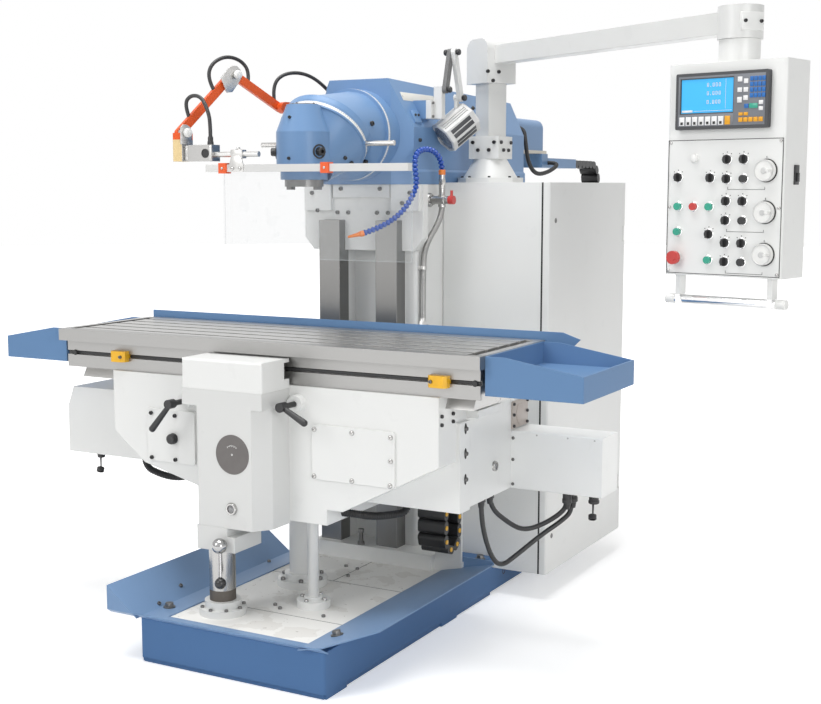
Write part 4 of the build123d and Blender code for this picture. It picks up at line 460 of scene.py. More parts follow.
def enamels(paint):
    """The painted castings, sheets and boxes."""
    blue, white = tuple(paint.blue), tuple(paint.white)
    orange, steel = tuple(paint.orange), tuple(paint.steel)
    bright, way_steel = shade(steel, 1.15), shade(steel, 0.56)
    thick = {"edge": 4.0, "gloss": 0.3}
    arm = {"rough": 0.30, "gloss": 0.25}
    painted("blue_enamel", shade(blue, 0.88), gloss=0.04)
    painted("tray_enamel", tuple(paint.tray), gloss=0.2)
    deck = zone(x=(-181, 346), y=(-873, 16), z=(143.5, 147))
    # The base's darker blue is painted shade; the deck's stains and seams are its own.
    painted("base_enamel", tuple(paint.base), (deck, deck_tone, 0.55, 0.0), cast=0.2, edge=5.0, gloss=0.05)
    painted("blue_cast", blue, cast=0.55, **thick)
    painted("head_enamel", shade(blue, 0.95), (zone(x=(157, None)), bright, 0.22, 1.0),
            (zone(x=(None, -157)), bright, 0.22, 1.0), cast=0.55, **thick)
    painted("ram_enamel", blue, (zone(x=(None, -184), z=(1738, None)), orange, 0.35, 0.0),
            (zone(x=(206.5, None), z=(1600, None)), (0.72, 0.72, 0.71), 0.4, 0.0), cast=0.45, **thick)
    painted("rear_enamel", blue, (zone(z=(1639.5, 1653.5)), (0.70, 0.66, 0.58), 0.4, 0.0), gloss=0.3)
    painted("white_enamel", white)
    painted("white_cast", white, cast=0.45, edge=3.5)
    # A darker copy of the white enamel for the front housing and clamp block: painted shade.
    painted("housing_shaded_enamel", shade(white, 0.84), cast=0.45, edge=3.5)
    # A lighter copy of the white enamel for the right drive box, which stands in shadow: painted light.
    painted("drive_lit_enamel", shade(white, 1.12))
    # The screw tubes' own off-white; the control arm shares it as a darker copy of the white enamel: painted
    # shade.
    painted("tube_enamel", shade(white, 0.90), rough=0.30)
    door_seam = zone(x=(598.5, None), y=(None, 300))
    painted("cabinet_enamel", white, (door_seam, (0.012, 0.012, 0.012), 0.8, 0.0))
    painted("column_enamel", white, (zone(x=(-161, -74), y=(None, 63), z=(201, 1379)), way_steel, 0.36, 1.0),
            (zone(x=(74, 161), y=(None, 63), z=(201, 1379)), way_steel, 0.36, 1.0), cast=0.4, edge=3.0)
    plate_knob = zone(x=(-330, -290), y=(None, -664.5), z=(650, 700))
    painted("cover_enamel", white, (plate_knob, tuple(paint.black), 0.45, 0.0))
    painted("orange_enamel", orange, **arm)
    painted("outer_arm_enamel", orange, (zone(z=(None, 1652)), shade(steel, 0.95), 0.34, 1.0),
            (zone(x=(None, -352.5), z=(None, 1652)), (0.80, 0.62, 0.33), 0.45, 0.0), **arm)
    painted("primer_beige", (0.50, 0.44, 0.40), rough=0.5)
    painted("cream_plate", (0.74, 0.72, 0.66), rough=0.4)
    painted("lamp_silver", (0.66, 0.66, 0.65), rough=0.38, edge=1.0)
    painted("lamp_grey", (0.17, 0.17, 0.17), rough=0.45, gloss=0.25)


def metals(paint):
    """The bare, plated and anodised metals."""
    steel, white = tuple(paint.steel), tuple(paint.white)
    orange, black = tuple(paint.orange), tuple(paint.black)
    turned, rolled, even = (70.0, 70.0, 3.0), (2.0, 60.0, 60.0), (20.0, 20.0, 20.0)
    plated = {"stretch": even, "band": 0.0}
    sleeve = ((0.66, 0.66, 0.65), 0.42, 0.0)
    # Darker steel on the table's front faces: painted shade.
    table_front_shade = zone(y=(None, GROOVE_FACE))
    ground("table_steel", shade(steel, 1.12), (table_front_shade, shade(steel, 0.74), 0.40, 1.0), rough=0.36,
           stretch=(2.0, 90.0, 90.0))
    ground("spindle_steel", shade(steel, 0.40), rough=0.34, stretch=turned)
    ground("turned_steel", steel, rough=0.24, stretch=turned)
    ground("dark_steel", shade(steel, 0.40), rough=0.40, stretch=(40.0, 40.0, 3.0))
    ground("post_steel", shade(steel, 0.9), (zone(z=(None, 191.2)), shade(white, 0.95), 0.40, 0.0),
           (zone(z=(191.2, 226)), (0.13, 0.115, 0.10), 0.55, 0.6), rough=0.24, stretch=(60.0, 60.0, 2.0))
    ground("chrome", (0.80, 0.80, 0.80), rough=0.12, **plated)
    ground("handle_chrome", (0.80, 0.80, 0.80), (zone(z=(1175.5, None)), white, 0.34, 0.0), rough=0.12,
           **plated)
    ground("ball_chrome", (0.38, 0.38, 0.38), (zone(z=(None, 299)), black, 0.25, 0.0), rough=0.18, **plated)
    ground("galvanised", shade(steel, 1.2), rough=0.38, stretch=(9.0, 9.0, 9.0))
    ground("aluminium", (0.60, 0.60, 0.59), rough=0.36, stretch=rolled)
    ground("rail_aluminium", (0.56, 0.56, 0.55), (zone(x=(174, 206), z=(1539, 1575)), orange, 0.35, 0.0),
           (zone(x=(-221, -189), z=(1539, 1575)), orange, 0.35, 0.0),
           (zone(x=(207, None), z=(1544, 1570)), *sleeve),
           (zone(x=(-188, 173), z=(1544, 1570)), *sleeve), rough=0.42, stretch=rolled)
    ground("conduit_steel", shade(steel, 0.82), rough=0.36, stretch=even)


def plastics(paint):
    """The plastics and rubbers."""
    black, yellow = tuple(paint.black), tuple(paint.yellow)
    moulded("black_plastic", black)
    moulded("black_rubber", shade(black, 0.9), rough=0.52, grain=380.0)
    moulded("cable_black", shade(black, 1.1), rough=0.40, grain=900.0)
    moulded("chain_black", black, (zone(x=(422.05, 430)), yellow, 0.4, 0.0))
    moulded("panel_white", (0.80, 0.80, 0.80), rough=0.36, grain=900.0)
    for name, colour, rough, coat in (
            ("yellow_plastic", yellow, 0.36, 0.0), ("red_plastic", (0.55, 0.035, 0.03), 0.30, 0.3),
            ("green_plastic", (0.02, 0.34, 0.23), 0.30, 0.3), ("grey_plastic", (0.62, 0.62, 0.61), 0.38, 0.0),
            ("white_plastic", (0.82, 0.82, 0.80), 0.32, 0.2), ("blue_hose", tuple(paint.hose), 0.24, 0.3),
            ("orange_plastic", (0.85, 0.22, 0.02), 0.32, 0.2),
            ("dark_case", (0.045, 0.047, 0.052), 0.42, 0.0),
            ("case_grey", (0.17, 0.18, 0.20), 0.42, 0.0), ("disc_grey", (0.135, 0.125, 0.12), 0.5, 0.0),
            ("mark_black", (0.02, 0.02, 0.02), 0.6, 0.0), ("key_blue", (0.01, 0.13, 0.42), 0.4, 0.0),
            ("key_amber", (0.78, 0.36, 0.01), 0.4, 0.0)):
        moulded(name, colour, rough=rough, coat=coat)


def clear_finishes():
    """The guard's clear sheet, the lit display and the patterned lamp glass."""
    clear = Finish("clear_sheet")
    scuff = clear.noise(18.0, 5.0)
    rim = clear.edges(clear.soft_normal(4.0))
    # The sheet grows opaque at its rim, so its edges show pale: a painted highlight along them.
    clear.surface(Base_Color=(0.62, 0.67, 0.69), Roughness=scuff * 0.10 + 0.05,
                  Alpha=(scuff > 0.62) * 0.03 + rim * 0.5 + 0.05)
    glow = Finish("display_glow")
    tone = glow.mix(glow.noise(3.0, 2.0), (0.035, 0.36, 0.72), (0.05, 0.43, 0.80))
    glow.surface(Base_Color=tone, Emission_Color=tone, Emission_Strength=0.35, Roughness=0.15)
    glass = Finish("lamp_glass")
    facet = glass.node("ShaderNodeTexVoronoi", None, {"Vector": glass.place, "Scale": 160.0})
    glass.surface(Base_Color=glass.mix(facet, (0.06, 0.06, 0.065), (0.35, 0.35, 0.36)), Roughness=0.12,
                  Coat_Weight=0.6, Normal=glass.bump(facet, 0.3, 0.6))


# Shapes

def add_object(name, data):
    """A new object in the open collection."""
    thing = bpy.data.objects.new(name, data)
    bpy.context.collection.objects.link(thing)
    return thing


def aim(at, along):
    """A frame at a point with its Z along a direction."""
    turn = UP.rotation_difference(Vector(along))
    return Matrix.Translation(Vector(at)) @ turn.to_matrix().to_4x4()


def facing(at, across, up):
    """A frame on a face: X across it, Y up it and Z out of it."""
    across, up = Vector(across).normalized(), Vector(up).normalized()
    axes = Matrix((across, up, across.cross(up))).transposed()
    return Matrix.Translation(Vector(at)) @ axes.to_4x4()


def round_about(middle, radius, count, height, start=0.0):
    """Places evenly spaced on a level circle."""
    turns = [start + math.tau * step / count for step in range(count)]
    return [(middle[0] + radius * math.cos(turn), middle[1] + radius * math.sin(turn), height)
            for turn in turns]


class Shape:
    """Gathers the faces of one piece in millimetres; what draws on it gives it back."""

    def __init__(self, place=None):
        self.mesh = bmesh.new()
        self.place = place or Matrix()

    def bevel(self, sides, width):
        bmesh.ops.bevel(self.mesh, geom=list(sides), offset=width, segments=2, profile=0.5, affect="EDGES",
                        clamp_overlap=True)

    def block(self, low, high, edge=0.0, place=None):
        """A box with rounded edges."""
        low, high = Vector(low), Vector(high)
        corners = bmesh.ops.create_cube(self.mesh, size=1.0)["verts"]
        middle = Matrix.Translation((low + high) / 2) @ Matrix.Diagonal((*(high - low), 1.0))
        bmesh.ops.transform(self.mesh, matrix=self.place @ (place or Matrix()) @ middle, verts=corners)
        if edge:
            self.bevel({side for corner in corners for side in corner.link_edges}, edge)
        return self

    def pane(self, corners, depth, edge=0.0):
        """A flat block from its left, low, right and high sides, and its front and back."""
        left, low, right, high = corners
        return self.block((left, depth[0], low), (right, depth[1], high), edge)

    def rectangle(self, corners, line, depth):
        """The four strokes of a plain rectangle."""
        left, low, right, high = corners
        for stroke in ((left, low, right, low + line), (left, high - line, right, high),
                       (left, low, left + line, high), (right - line, low, right, high)):
            self.pane(stroke, depth)
        return self

    def ring(self, here, radius, height, corners, sides):
        """Points round an axis, on a polygon if it has corners; without a radius there is one point."""
        if not radius:
            return [self.mesh.verts.new(here @ Vector((0, 0, height)))]
        points = []
        for step in range(sides):
            turn = math.tau * step / sides
            reach = radius
            if corners:
                wedge = math.tau / corners
                reach *= math.cos(wedge / 2) / math.cos(turn % wedge - wedge / 2)
            spot = Vector((reach * math.cos(turn), reach * math.sin(turn), height))
            points.append(self.mesh.verts.new(here @ spot))
        return points

    def bridge(self, first, second):
        """Faces between two rings; a ring of one point makes a cap."""
        count = max(len(first), len(second))
        for step in range(count):
            after = (step + 1) % count
            corners = [first[step % len(first)], first[after % len(first)], second[after % len(second)],
                       second[step % len(second)]]
            self.mesh.faces.new(list(dict.fromkeys(corners)))

    def turned(self, at, along, profile, sides=24):
        """A turned shape from (radius, height) pairs; a third number makes that ring a polygon."""
        here = self.place @ aim(at, along)
        rings = []
        for radius, height, *corners in profile:
            rings.append(self.ring(here, radius, height, corners[0] if corners else 0, sides))
        for first, second in zip(rings, rings[1:]):
            self.bridge(first, second)
        for end in (rings[0], rings[-1]):
            if len(end) > 2:
                self.mesh.faces.new(end)
        return self

    def swept(self, line, reach, sides):
        """A tube along points; reach gives its radius at a length along it."""
        across = (line[1] - line[0]).orthogonal().normalized()
        before, travel = None, 0.0
        for index, point in enumerate(line):
            ahead = (line[min(index + 1, len(line) - 1)] - line[max(index - 1, 0)]).normalized()
            across = (across - ahead * across.dot(ahead)).normalized()
            second = ahead.cross(across)
            if index:
                travel += (point - line[index - 1]).length
            radius = reach(travel)
            ring = []
            for step in range(sides):
                turn = math.tau * step / sides
                spot = point + (across * math.cos(turn) + second * math.sin(turn)) * radius
                ring.append(self.mesh.verts.new(self.place @ spot))
            if before:
                self.bridge(before, ring)
            else:
                self.mesh.faces.new(ring)
            before = ring
        self.mesh.faces.new(before)
        return self

    def sheet(self, outline, thick, place, edge=0.0):
        """A flat plate from an outline in a frame's XY plane, carried along its Z."""
        here = self.place @ place
        low = [self.mesh.verts.new(here @ Vector((x, y, 0))) for x, y in outline]
        high = [self.mesh.verts.new(here @ Vector((x, y, thick))) for x, y in outline]
        self.bridge(low, high)
        top = self.mesh.faces.new(high)
        self.mesh.faces.new(list(reversed(low)))
        if edge:
            self.bevel(top.edges, edge)
        return self

    def cap_screw(self, at, along, head):
        """A socket head screw with its hexagon recess."""
        radius, tall = head / 2, head * 0.55
        recess, floor = radius * 0.56, tall * 0.35
        return self.turned(at, along, (
            (radius, -1), (radius, tall * 0.85), (radius * 0.9, tall), (recess, tall, 6), (recess, floor, 6),
            (0, floor)))

    def hex_bolt(self, at, along, head):
        """A hexagon head on its washer."""
        radius, washer = head / 2, head * 0.12
        tall = washer + head * 0.42
        return self.turned(at, along, (
            (radius * 1.35, -1), (radius * 1.35, washer), (radius, washer, 6), (radius, tall * 0.88, 6),
            (radius * 0.86, tall), (0, tall)))

    def dome_screw(self, at, along, head):
        """A round head screw with a shallow recess."""
        radius, floor = head / 2, head * 0.18
        return self.turned(at, along, (
            (radius, -1), (radius, head * 0.08), (radius * 0.86, head * 0.24), (radius * 0.5, head * 0.32),
            (radius * 0.32, head * 0.33, 4), (radius * 0.24, floor, 4), (0, floor)))

    def piece(self, name, body, finish, sharp=35.0):
        """Close the piece; it rides on a body named by a string, and is otherwise left unattached."""
        bmesh.ops.recalc_face_normals(self.mesh, faces=self.mesh.faces)
        for side in self.mesh.edges:
            side.smooth = side.calc_face_angle(0.0) < math.radians(sharp)
        for face in self.mesh.faces:
            face.smooth = True
        self.mesh.transform(Matrix.Scale(MM, 4))
        data = bpy.data.meshes.new(name)
        self.mesh.to_mesh(data)
        self.mesh.free()
        data.materials.append(FINISHES[finish])
        thing = add_object(name, data)
        if isinstance(body, str):
            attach(thing, body)
        else:
            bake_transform(thing)
        return thing


def lathe(name, body, finish, at, along, profile, sides=24, place=None):
    """A piece of one turning."""
    return Shape(place).turned(at, along, profile, sides).piece(name, body, finish)


def screws(name, body, finish, places, along, head, make=Shape.cap_screw, place=None):
    """Like screws on one face; make is the Shape method that draws each."""
    shape = Shape(place)
    for at in places:
        make(shape, at, along, head)
    return shape.piece(name, body, finish)


def hung_chain(node, mover, along, across, ends, middle, side, share):
    """Split a chain at its bend into its moving strand, bend and fixed strand, three pieces in place of the
    chain.
    """
    moving, bend, fixed = ends

    def at(value):
        return Vector([value if axis == along else 0.0 for axis in range(3)])

    routes = {"moving": (at(moving), at(moving + (bend - moving) / share)),
              "bend": (RIGHT * FAR * -share, RIGHT * FAR * (1.0 - share)),
              "fixed": (at(fixed + (bend - fixed) / (1.0 - share)), at(fixed))}
    for part, (start, end) in routes.items():
        links = Shape()
        links.mesh.from_mesh(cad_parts[node].data)
        links.mesh.transform(Matrix.Scale(1.0 / MM, 4))
        bmesh.ops.remove_doubles(links.mesh, verts=links.mesh.verts, dist=0.01)
        others = []
        for face in links.mesh.faces:
            place = face.calc_center_median()
            if (place[along] - bend) * (bend - moving) > 0:
                found = "bend"
            else:
                found = "fixed" if (place[across] - middle) * side > 0 else "moving"
            if found != part:
                others.append(face)
        bmesh.ops.delete(links.mesh, geom=others, context="FACES")
        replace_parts(links.piece(node + "_" + part, (mover, "frame", start, end), "chain_black"), node)


def route_curve(name, points, steps=24):
    """A smooth open line whose control points are a route's points."""
    curve = bpy.data.curves.new(name, "CURVE")
    curve.dimensions = "3D"
    curve.resolution_u = steps
    spline = curve.splines.new("NURBS")
    spline.points.add(len(points) - 1)
    for spot, point in zip(spline.points, points):
        spot.co = (*(Vector(point) * MM), 1.0)
    spline.order_u = 3
    spline.use_endpoint_u = True
    return add_object(name, curve)


def route_line(points, steps=24):
    """Points read from a route's smooth line, in millimetres, and its length in metres."""
    guide = route_curve("guide", points, steps)
    data = bpy.data.meshes.new_from_object(guide)
    line = [vert.co / MM for vert in data.vertices]
    curve = guide.data
    bpy.data.objects.remove(guide)
    bpy.data.curves.remove(curve)
    bpy.data.meshes.remove(data)
    length = sum((after - before).length for before, after in zip(line, line[1:])) * MM
    return line, length


def cable(name, points, radius, body, finish):
    """A smooth round cable on a route."""
    _, length = route_line(points)
    thing = route_curve(name, points)
    thing.data.bevel_depth = radius * MM
    thing.data.bevel_resolution = 5
    thing.data.use_fill_caps = True
    thing.data.materials.append(FINISHES[finish])
    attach(thing, body)
    return thing


def hose(name, points, form, body, finish, far_end="object", with_pieces=(), steps=160, sides=18):
    """A shaped hose on a route; a form is a radius along it and a diameter."""
    reach, diameter = form
    line, length = route_line(points, steps)
    thing = Shape().swept(line, reach, sides).piece(name, body, finish, 60.0)
    diameter * MM
    return thing


def plain(radius):
    """The form of a smooth line."""
    def reach(travel):
        return radius
    return reach, 2 * radius


def ribs(crest, depth, pitch):
    """The form of a corrugated hose."""
    def reach(travel):
        return crest - depth * (0.5 - 0.5 * math.cos(math.tau * travel / pitch))
    return reach, 2 * crest


def beads(waist, crest, pitch):
    """The form of a jointed hose, with one ball to each joint."""
    def reach(travel):
        return waist + (crest - waist) * abs(math.sin(math.pi * travel / pitch)) ** 0.8
    return reach, 2 * crest


# Operators

class MILL_OT_finishes(bpy.types.Operator):
    """Make every finish and give the machine's nodes theirs"""
    bl_idname = "mill.finishes"
    bl_label = "Finishes"

    def execute(self, context):
        paint = context.scene.mill_paint
        enamels(paint)
        metals(paint)
        plastics(paint)
        clear_finishes()
        for finish, nodes in FINISH_NODES.items():
            for node in nodes.split():
                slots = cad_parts[node].data.materials
                slots.clear()
                slots.append(FINISHES[finish])
        return {"FINISHED"}


class MILL_OT_lines(bpy.types.Operator):
    """Lay the cables, hoses and energy chains, the coolant valve and its jointed hose"""
    bl_idname = "mill.lines"
    bl_label = "Cables, hoses and chains"

    def execute(self, context):
        for name, points in (("long_cable", CABLE_LONG), ("short_cable", CABLE_SHORT)):
            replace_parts(cable(name, points, KNEE_CABLE_R, "knee", "cable_black"), "knee_cables")
        for name, points in (("right_ribbed_hose", HOSE_RIGHT), ("left_ribbed_hose", HOSE_LEFT)):
            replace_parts(hose(name, points, ribs(*KNEE_RIBS), "knee", "black_rubber"), "knee_cables")
        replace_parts(hose("ram_ribbed_hose", RAM_HOSE, ribs(*RAM_RIBS), "ram", "black_rubber"), "ram_hose")
        self.coolant()
        self.valve()
        for node, chain in CHAINS.items():
            hung_chain(node, *chain)
        return {"FINISHED"}

    def coolant(self):
        start, end = Vector(COOLANT[-1]), Vector(NOZZLE_END)
        reach = (end - start).length
        tip = lathe("coolant_nozzle", "frame", "orange_plastic", start, end - start, (
            (9.6, -3), (10.4, 0), (10.4, 9), (8.6, 11), (7.4, 16), (4.0, reach - 1), (3.6, reach),
            (2.2, reach), (2.2, reach - 12), (0, reach - 12)))
        base = lathe("coolant_collar", "frame", "orange_plastic", COOLANT[0], UP, (
            (11.5, -6), (12.5, -4), (12.5, 10), (11, 12), (9, 12)))
        jointed = hose("coolant_jointed_hose", COOLANT, beads(*HOSE_JOINTS), "frame", "blue_hose", "fitting",
                       (tip, base), sides=20)
        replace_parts(jointed, "coolant_hose")

    def valve(self):
        pipe = hose("valve_conduit", CONDUIT, ribs(*CONDUIT_RIBS), "frame", "conduit_steel")
        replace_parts(pipe, "coolant_line")
        body = Shape()
        body.turned(VALVE_AT, RIGHT, (
            (25, 0), (25, 9), (23, VALVE_FLANGE), (15, VALVE_FLANGE), (14, 16), (14, 40), (17, 42), (17, 66),
            (14, 68), (14, 82)))
        body.turned(CONDUIT[0], UP, (
            (13.5, 0), (13.5, 7), (12, 8), (12, 14), (14, 16), (14, 40), (11.5, 44), (11.5, 78),
            (13.8, 80, 6), (13.8, 98, 6), (11, 100), (11, 114)))
        for turn in range(4):
            angle = math.tau * (turn + 0.5) / 4
            spot = Vector((VALVE_FLANGE, 19.5 * math.cos(angle), 19.5 * math.sin(angle)))
            body.cap_screw(VALVE_AT + spot, RIGHT, 6.5)
        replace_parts(body.piece("coolant_valve", "frame", "turned_steel"), "coolant_line")
        foot = Shape().block((VALVE_AT.x, 64.2, 976), (238.5, 96, 1010), 2.0)
        foot.turned(Vector(CONDUIT[-1]) - UP * 2, UP, (
            (15, 0), (15, 3, 6), (15, 14, 6), (12, 16), (11.2, 26)))
        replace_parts(foot.piece("conduit_foot", "frame", "galvanised"), "coolant_line")
        clip = Shape()
        clip.turned((222.6, 80.6, 1205), (0, 0.1, 1), ((13, 0), (13, 12), (11.2, 12), (11.2, 0)))
        clip.block((VALVE_AT.x, 72, 1203), (214, 89, 1219), 1.0)
        clip.cap_screw((224, 68.5, 1211), OUT, 7)
        clip.piece("conduit_clip", "frame", "galvanised")


class MILL_OT_base(bpy.types.Operator):
    """Bolt down tray, posts and deck, and add the guide's flange, the knee's stop and the side plug"""
    bl_idname = "mill.base"
    bl_label = "Base fittings"

    def execute(self, context):
        size = context.scene.mill_fittings
        cap, anchor = size.cap_head / MM, size.hex_head / MM * 1.2
        anchors = Shape()
        for at in ((-236, -798, 149), (-236, 196, 145), (400, 196, 145)):
            anchors.hex_bolt(at, UP, anchor)
        anchors.hex_bolt((400, -798, 161), (-0.22, 0, 0.98), anchor)
        anchors.piece("anchor_bolts", "frame", "dark_steel")
        deck = ((-249, -216, 149), (19, -121, 145), (73, -133, 145), (89, -222, 145), (81, -632, 145),
                (46, -608, 145), (247, -633, 145))
        flare, flare_way = ((-272, -807, 156.4), (-296, -665, 174.1)), Vector((0.59, 0, 0.8))
        screws("deck_screws", "frame", "dark_steel", deck, UP, cap)
        screws("flare_screws", "frame", "dark_steel", flare, flare_way, cap)
        screws("post_bolts", "frame", "dark_steel", round_about(POST_AT, 66.5, 8, 167), UP, 12)
        screws("tube_bolts", "frame", "dark_steel", round_about(TUBE_AT, 73, 6, 169), UP, 16)
        lathe("guide_flange", "frame", "white_enamel", (*GUIDE_AT, 144.5), UP, (
            (55, 0), (55, 25), (53.5, 26.5), (31, 26.5), (31, 35), (29.5, 36.5), (18, 36.5)), 64)
        screws("guide_bolts", "frame", "turned_steel", round_about(GUIDE_AT, 43, 4, 170.8), UP, 14)
        lathe("knee_stop", "frame", "dark_steel", (16, -10, 200), UP, (
            (14, -1), (14, 9, 6), (14, 11, 6), (8, 12), (8, 46), (13, 46, 6), (13, 56, 6), (10.5, 59),
            (0, 59)))
        lathe("base_side_plug", "frame", "mark_black", (426, 346, 66), RIGHT, (
            (12, -1), (12, 0.8), (9, 0.8), (8, -0.6), (0, -0.6)))
        return {"FINISHED"}


class MILL_OT_knee(bpy.types.Operator):
    """Add the knee's screws, painted rib recess shade, dial disc, sight glasses, knob, end plate and plugs"""
    bl_idname = "mill.knee"
    bl_label = "Knee fittings"

    def execute(self, context):
        size = context.scene.mill_fittings
        cap = size.cap_head / MM
        self.front(cap)
        self.dial(size.disc / MM)
        self.side(cap)
        self.plugs()
        return {"FINISHED"}

    def front(self, cap):
        right = ((239, 753), (375, 753), (510, 751), (510, 679), (508, 603), (374, 604), (237, 605))
        left = ((-402, 752), (-303, 750), (-403, 602), (-304, 603))
        screws("right_plate_screws", "knee", "turned_steel", [(x, PLATE_FACE, z) for x, z in right], OUT,
               cap * 1.25, Shape.dome_screw)
        screws("left_plate_screws", "knee", "black_plastic", [(x, PLATE_FACE, z) for x, z in left], OUT, cap)
        lathe("plate_knob", "knee", "black_plastic", (-312, PLATE_FACE, 673), OUT, (
            (18, -1), (18.5, 2), (17.5, 5), (17.5, 14), (16, 18), (11, 19.5), (9, 18.6), (0, 18.6)), 32)

    def dial(self, disc):
        """A plain disc with a short arc of marks over its middle, and the sight glass below it."""
        lathe("dial_disc", "knee", "disc_grey", DIAL_AT, OUT, (
            (disc, -1), (disc, 1.2), (disc - 1.2, DISC_THICK), (0, DISC_THICK)), 64)
        marks, outer = Shape(), 30
        for step in range(-4, 5):
            lean = Matrix.Rotation(math.radians(step * 9.0), 4, "Y")
            tall = 5.0 if step % 2 == 0 else 3.0
            place = Matrix.Translation(DIAL_AT + OUT * DISC_THICK) @ lean
            marks.block((-0.8, -0.4, outer - tall), (0.8, 0.4, outer), place=place)
        marks.turned(DIAL_AT + OUT * 2.0, OUT, ((3.2, 0), (3.2, 0.8), (1.4, 0.8), (1.4, 0.2), (0, 0.2)))
        marks.piece("dial_marks", "knee", "white_plastic")
        self.sight("housing_sight", (27, HOUSING_FACE, 507), OUT, 20.0)

    def sight(self, name, at, along, radius):
        lathe(name + "_rim", "knee", "turned_steel", at, along, (
            (radius, -1), (radius, 3, 6), (radius, 7, 6), (radius * 0.86, 9), (radius * 0.66, 9),
            (radius * 0.62, 5), (0, 5)), 36)
        lathe(name + "_glass", "knee", "lamp_glass", at, along, (
            (radius * 0.6, 4), (radius * 0.6, 5.6), (radius * 0.4, 6.6), (0, 7)))

    def side(self, cap):
        rib_side, rib_y, rib_z = 682.0, -505.0, (768, 691, 611)
        plate_face = KNEE_SIDE + 5
        turns = [math.tau * step / 24 for step in range(24)]
        outline = [(17 * math.cos(turn), 8 * math.sin(turn)) for turn in turns]
        # Flat black ovals where the ribs are recessed: painted shade in the recesses.
        recess = Shape()
        for z in rib_z:
            recess.sheet(outline, 0.7, aim((rib_side, rib_y, z), RIGHT))
        recess.piece("rib_recess_shade", "knee", "mark_black")
        screws("rib_bolts", "knee", "dark_steel", [(rib_side + 0.4, rib_y, z) for z in rib_z], RIGHT, cap)
        small = [(KNEE_SIDE, y, z) for y, z in ((-640, 825), (-640, 799), (-566, 823), (-566, 799))]
        screws("side_screws", "knee", "black_plastic", small, RIGHT, cap * 0.9)
        self.sight("side_sight", (KNEE_SIDE, -268, 607), RIGHT, 17.0)
        plate = Shape().block((KNEE_SIDE - 1, -138, 706), (plate_face, -12, 797), 1.5)
        plate.turned((plate_face, -75, 752), RIGHT, ((34, -1), (34, 1.4), (32, 2.4), (0, 2.4)), 48)
        plate.piece("end_plate", "knee", "primer_beige")
        ends = [(plate_face, y, z) for y in (-129, -21) for z in (715, 752, 788)]
        screws("end_plate_screws", "knee", "black_plastic", ends, RIGHT, cap * 0.8)
        box = [(676, DRIVE_FACE, z) for z in (677, 605, 523)]
        screws("box_screws", "knee", "dark_steel", box, OUT, cap * 0.85, Shape.dome_screw)
        rivets = [(x, DRIVE_FACE, 693) for x in (760, 868, 960)]
        screws("box_rivets", "knee", "galvanised", rivets, OUT, 6.0, Shape.dome_screw)

    def plugs(self):
        """The plugs of the two cables, and two free sockets with their caps."""
        right_free, left_free = Vector((937, -75, 508)), Vector((-800, -470, 545))
        plugs = Shape()
        for route in (CABLE_LONG, CABLE_SHORT):
            plugs.turned(route[0], -UP, ((14, -1), (14, 7, 6), (14, 9, 6), (11, 10), (9.4, 24), (8.4, 28)))
        for route in (CABLE_LONG, CABLE_SHORT):
            plugs.turned(route[-1], -UP, (
                (17, -1), (17, 6), (15, 8), (15, 24), (16.5, 26), (16.5, 38), (12, 42), (9.6, 56), (8.4, 60)))
        plugs.turned(right_free, -UP, (
            (19, -1), (19, 5), (16, 7), (16, 22), (18, 24), (18, 32), (15, 35), (0, 35)))
        self.dust_cap(plugs, right_free - UP * 32)
        plugs.turned(left_free, -UP, ((17, -1), (17, 5), (14, 7), (14, 16), (12, 18), (0, 18)))
        self.dust_cap(plugs, left_free - UP * 15)
        plugs.piece("cable_plugs", "knee", "black_plastic")

    def dust_cap(self, shape, at):
        """A rubber cap that hangs from a plug by its flat strap."""
        strap = ((-4, 0), (4, 0), (2.6, -14), (1.4, -44), (-2.8, -44), (-3, -14))
        shape.sheet(strap, 3.0, aim(at + Vector((-2, 1, 0)), OUT))
        shape.turned(at + Vector((-4, 0, -42)), (0.2, -0.5, -0.85), (
            (6, -4), (13, -1), (13.5, 2), (13.5, 13), (12, 15), (10.5, 15), (10.5, 6), (0, 6)))


class MILL_OT_table(bpy.types.Operator):
    """Lay the strip in the table's front groove, with its end stops and the screws of dogs and guard"""
    bl_idname = "mill.table"
    bl_label = "Table fittings"

    def execute(self, context):
        strip = Shape()
        for low, high in ((-777, -572), (-506, 635), (701, 797)):
            strip.block((low, -642, 927), (high, -633.5, 937), 1.5)
        for x in (-744, 781):
            strip.turned((x, GROOVE_FACE, GROOVE_Z), OUT, ((9.5, 0), (9.5, 14), (8, 17), (0, 17)))
        strip.piece("groove_strip", "table", "black_rubber")
        dogs = [(x, DOG_FACE, GROOVE_Z) for x in (-521, 650)]
        screws("dog_screws", "table", "dark_steel", dogs, OUT, 11.0)
        guard = [(x, -190, 992) for x in (-700, -400, -100, 200, 500, 760)]
        screws("guard_screws", "table", "turned_steel", guard, UP, 9.0, Shape.dome_screw)
        return {"FINISHED"}


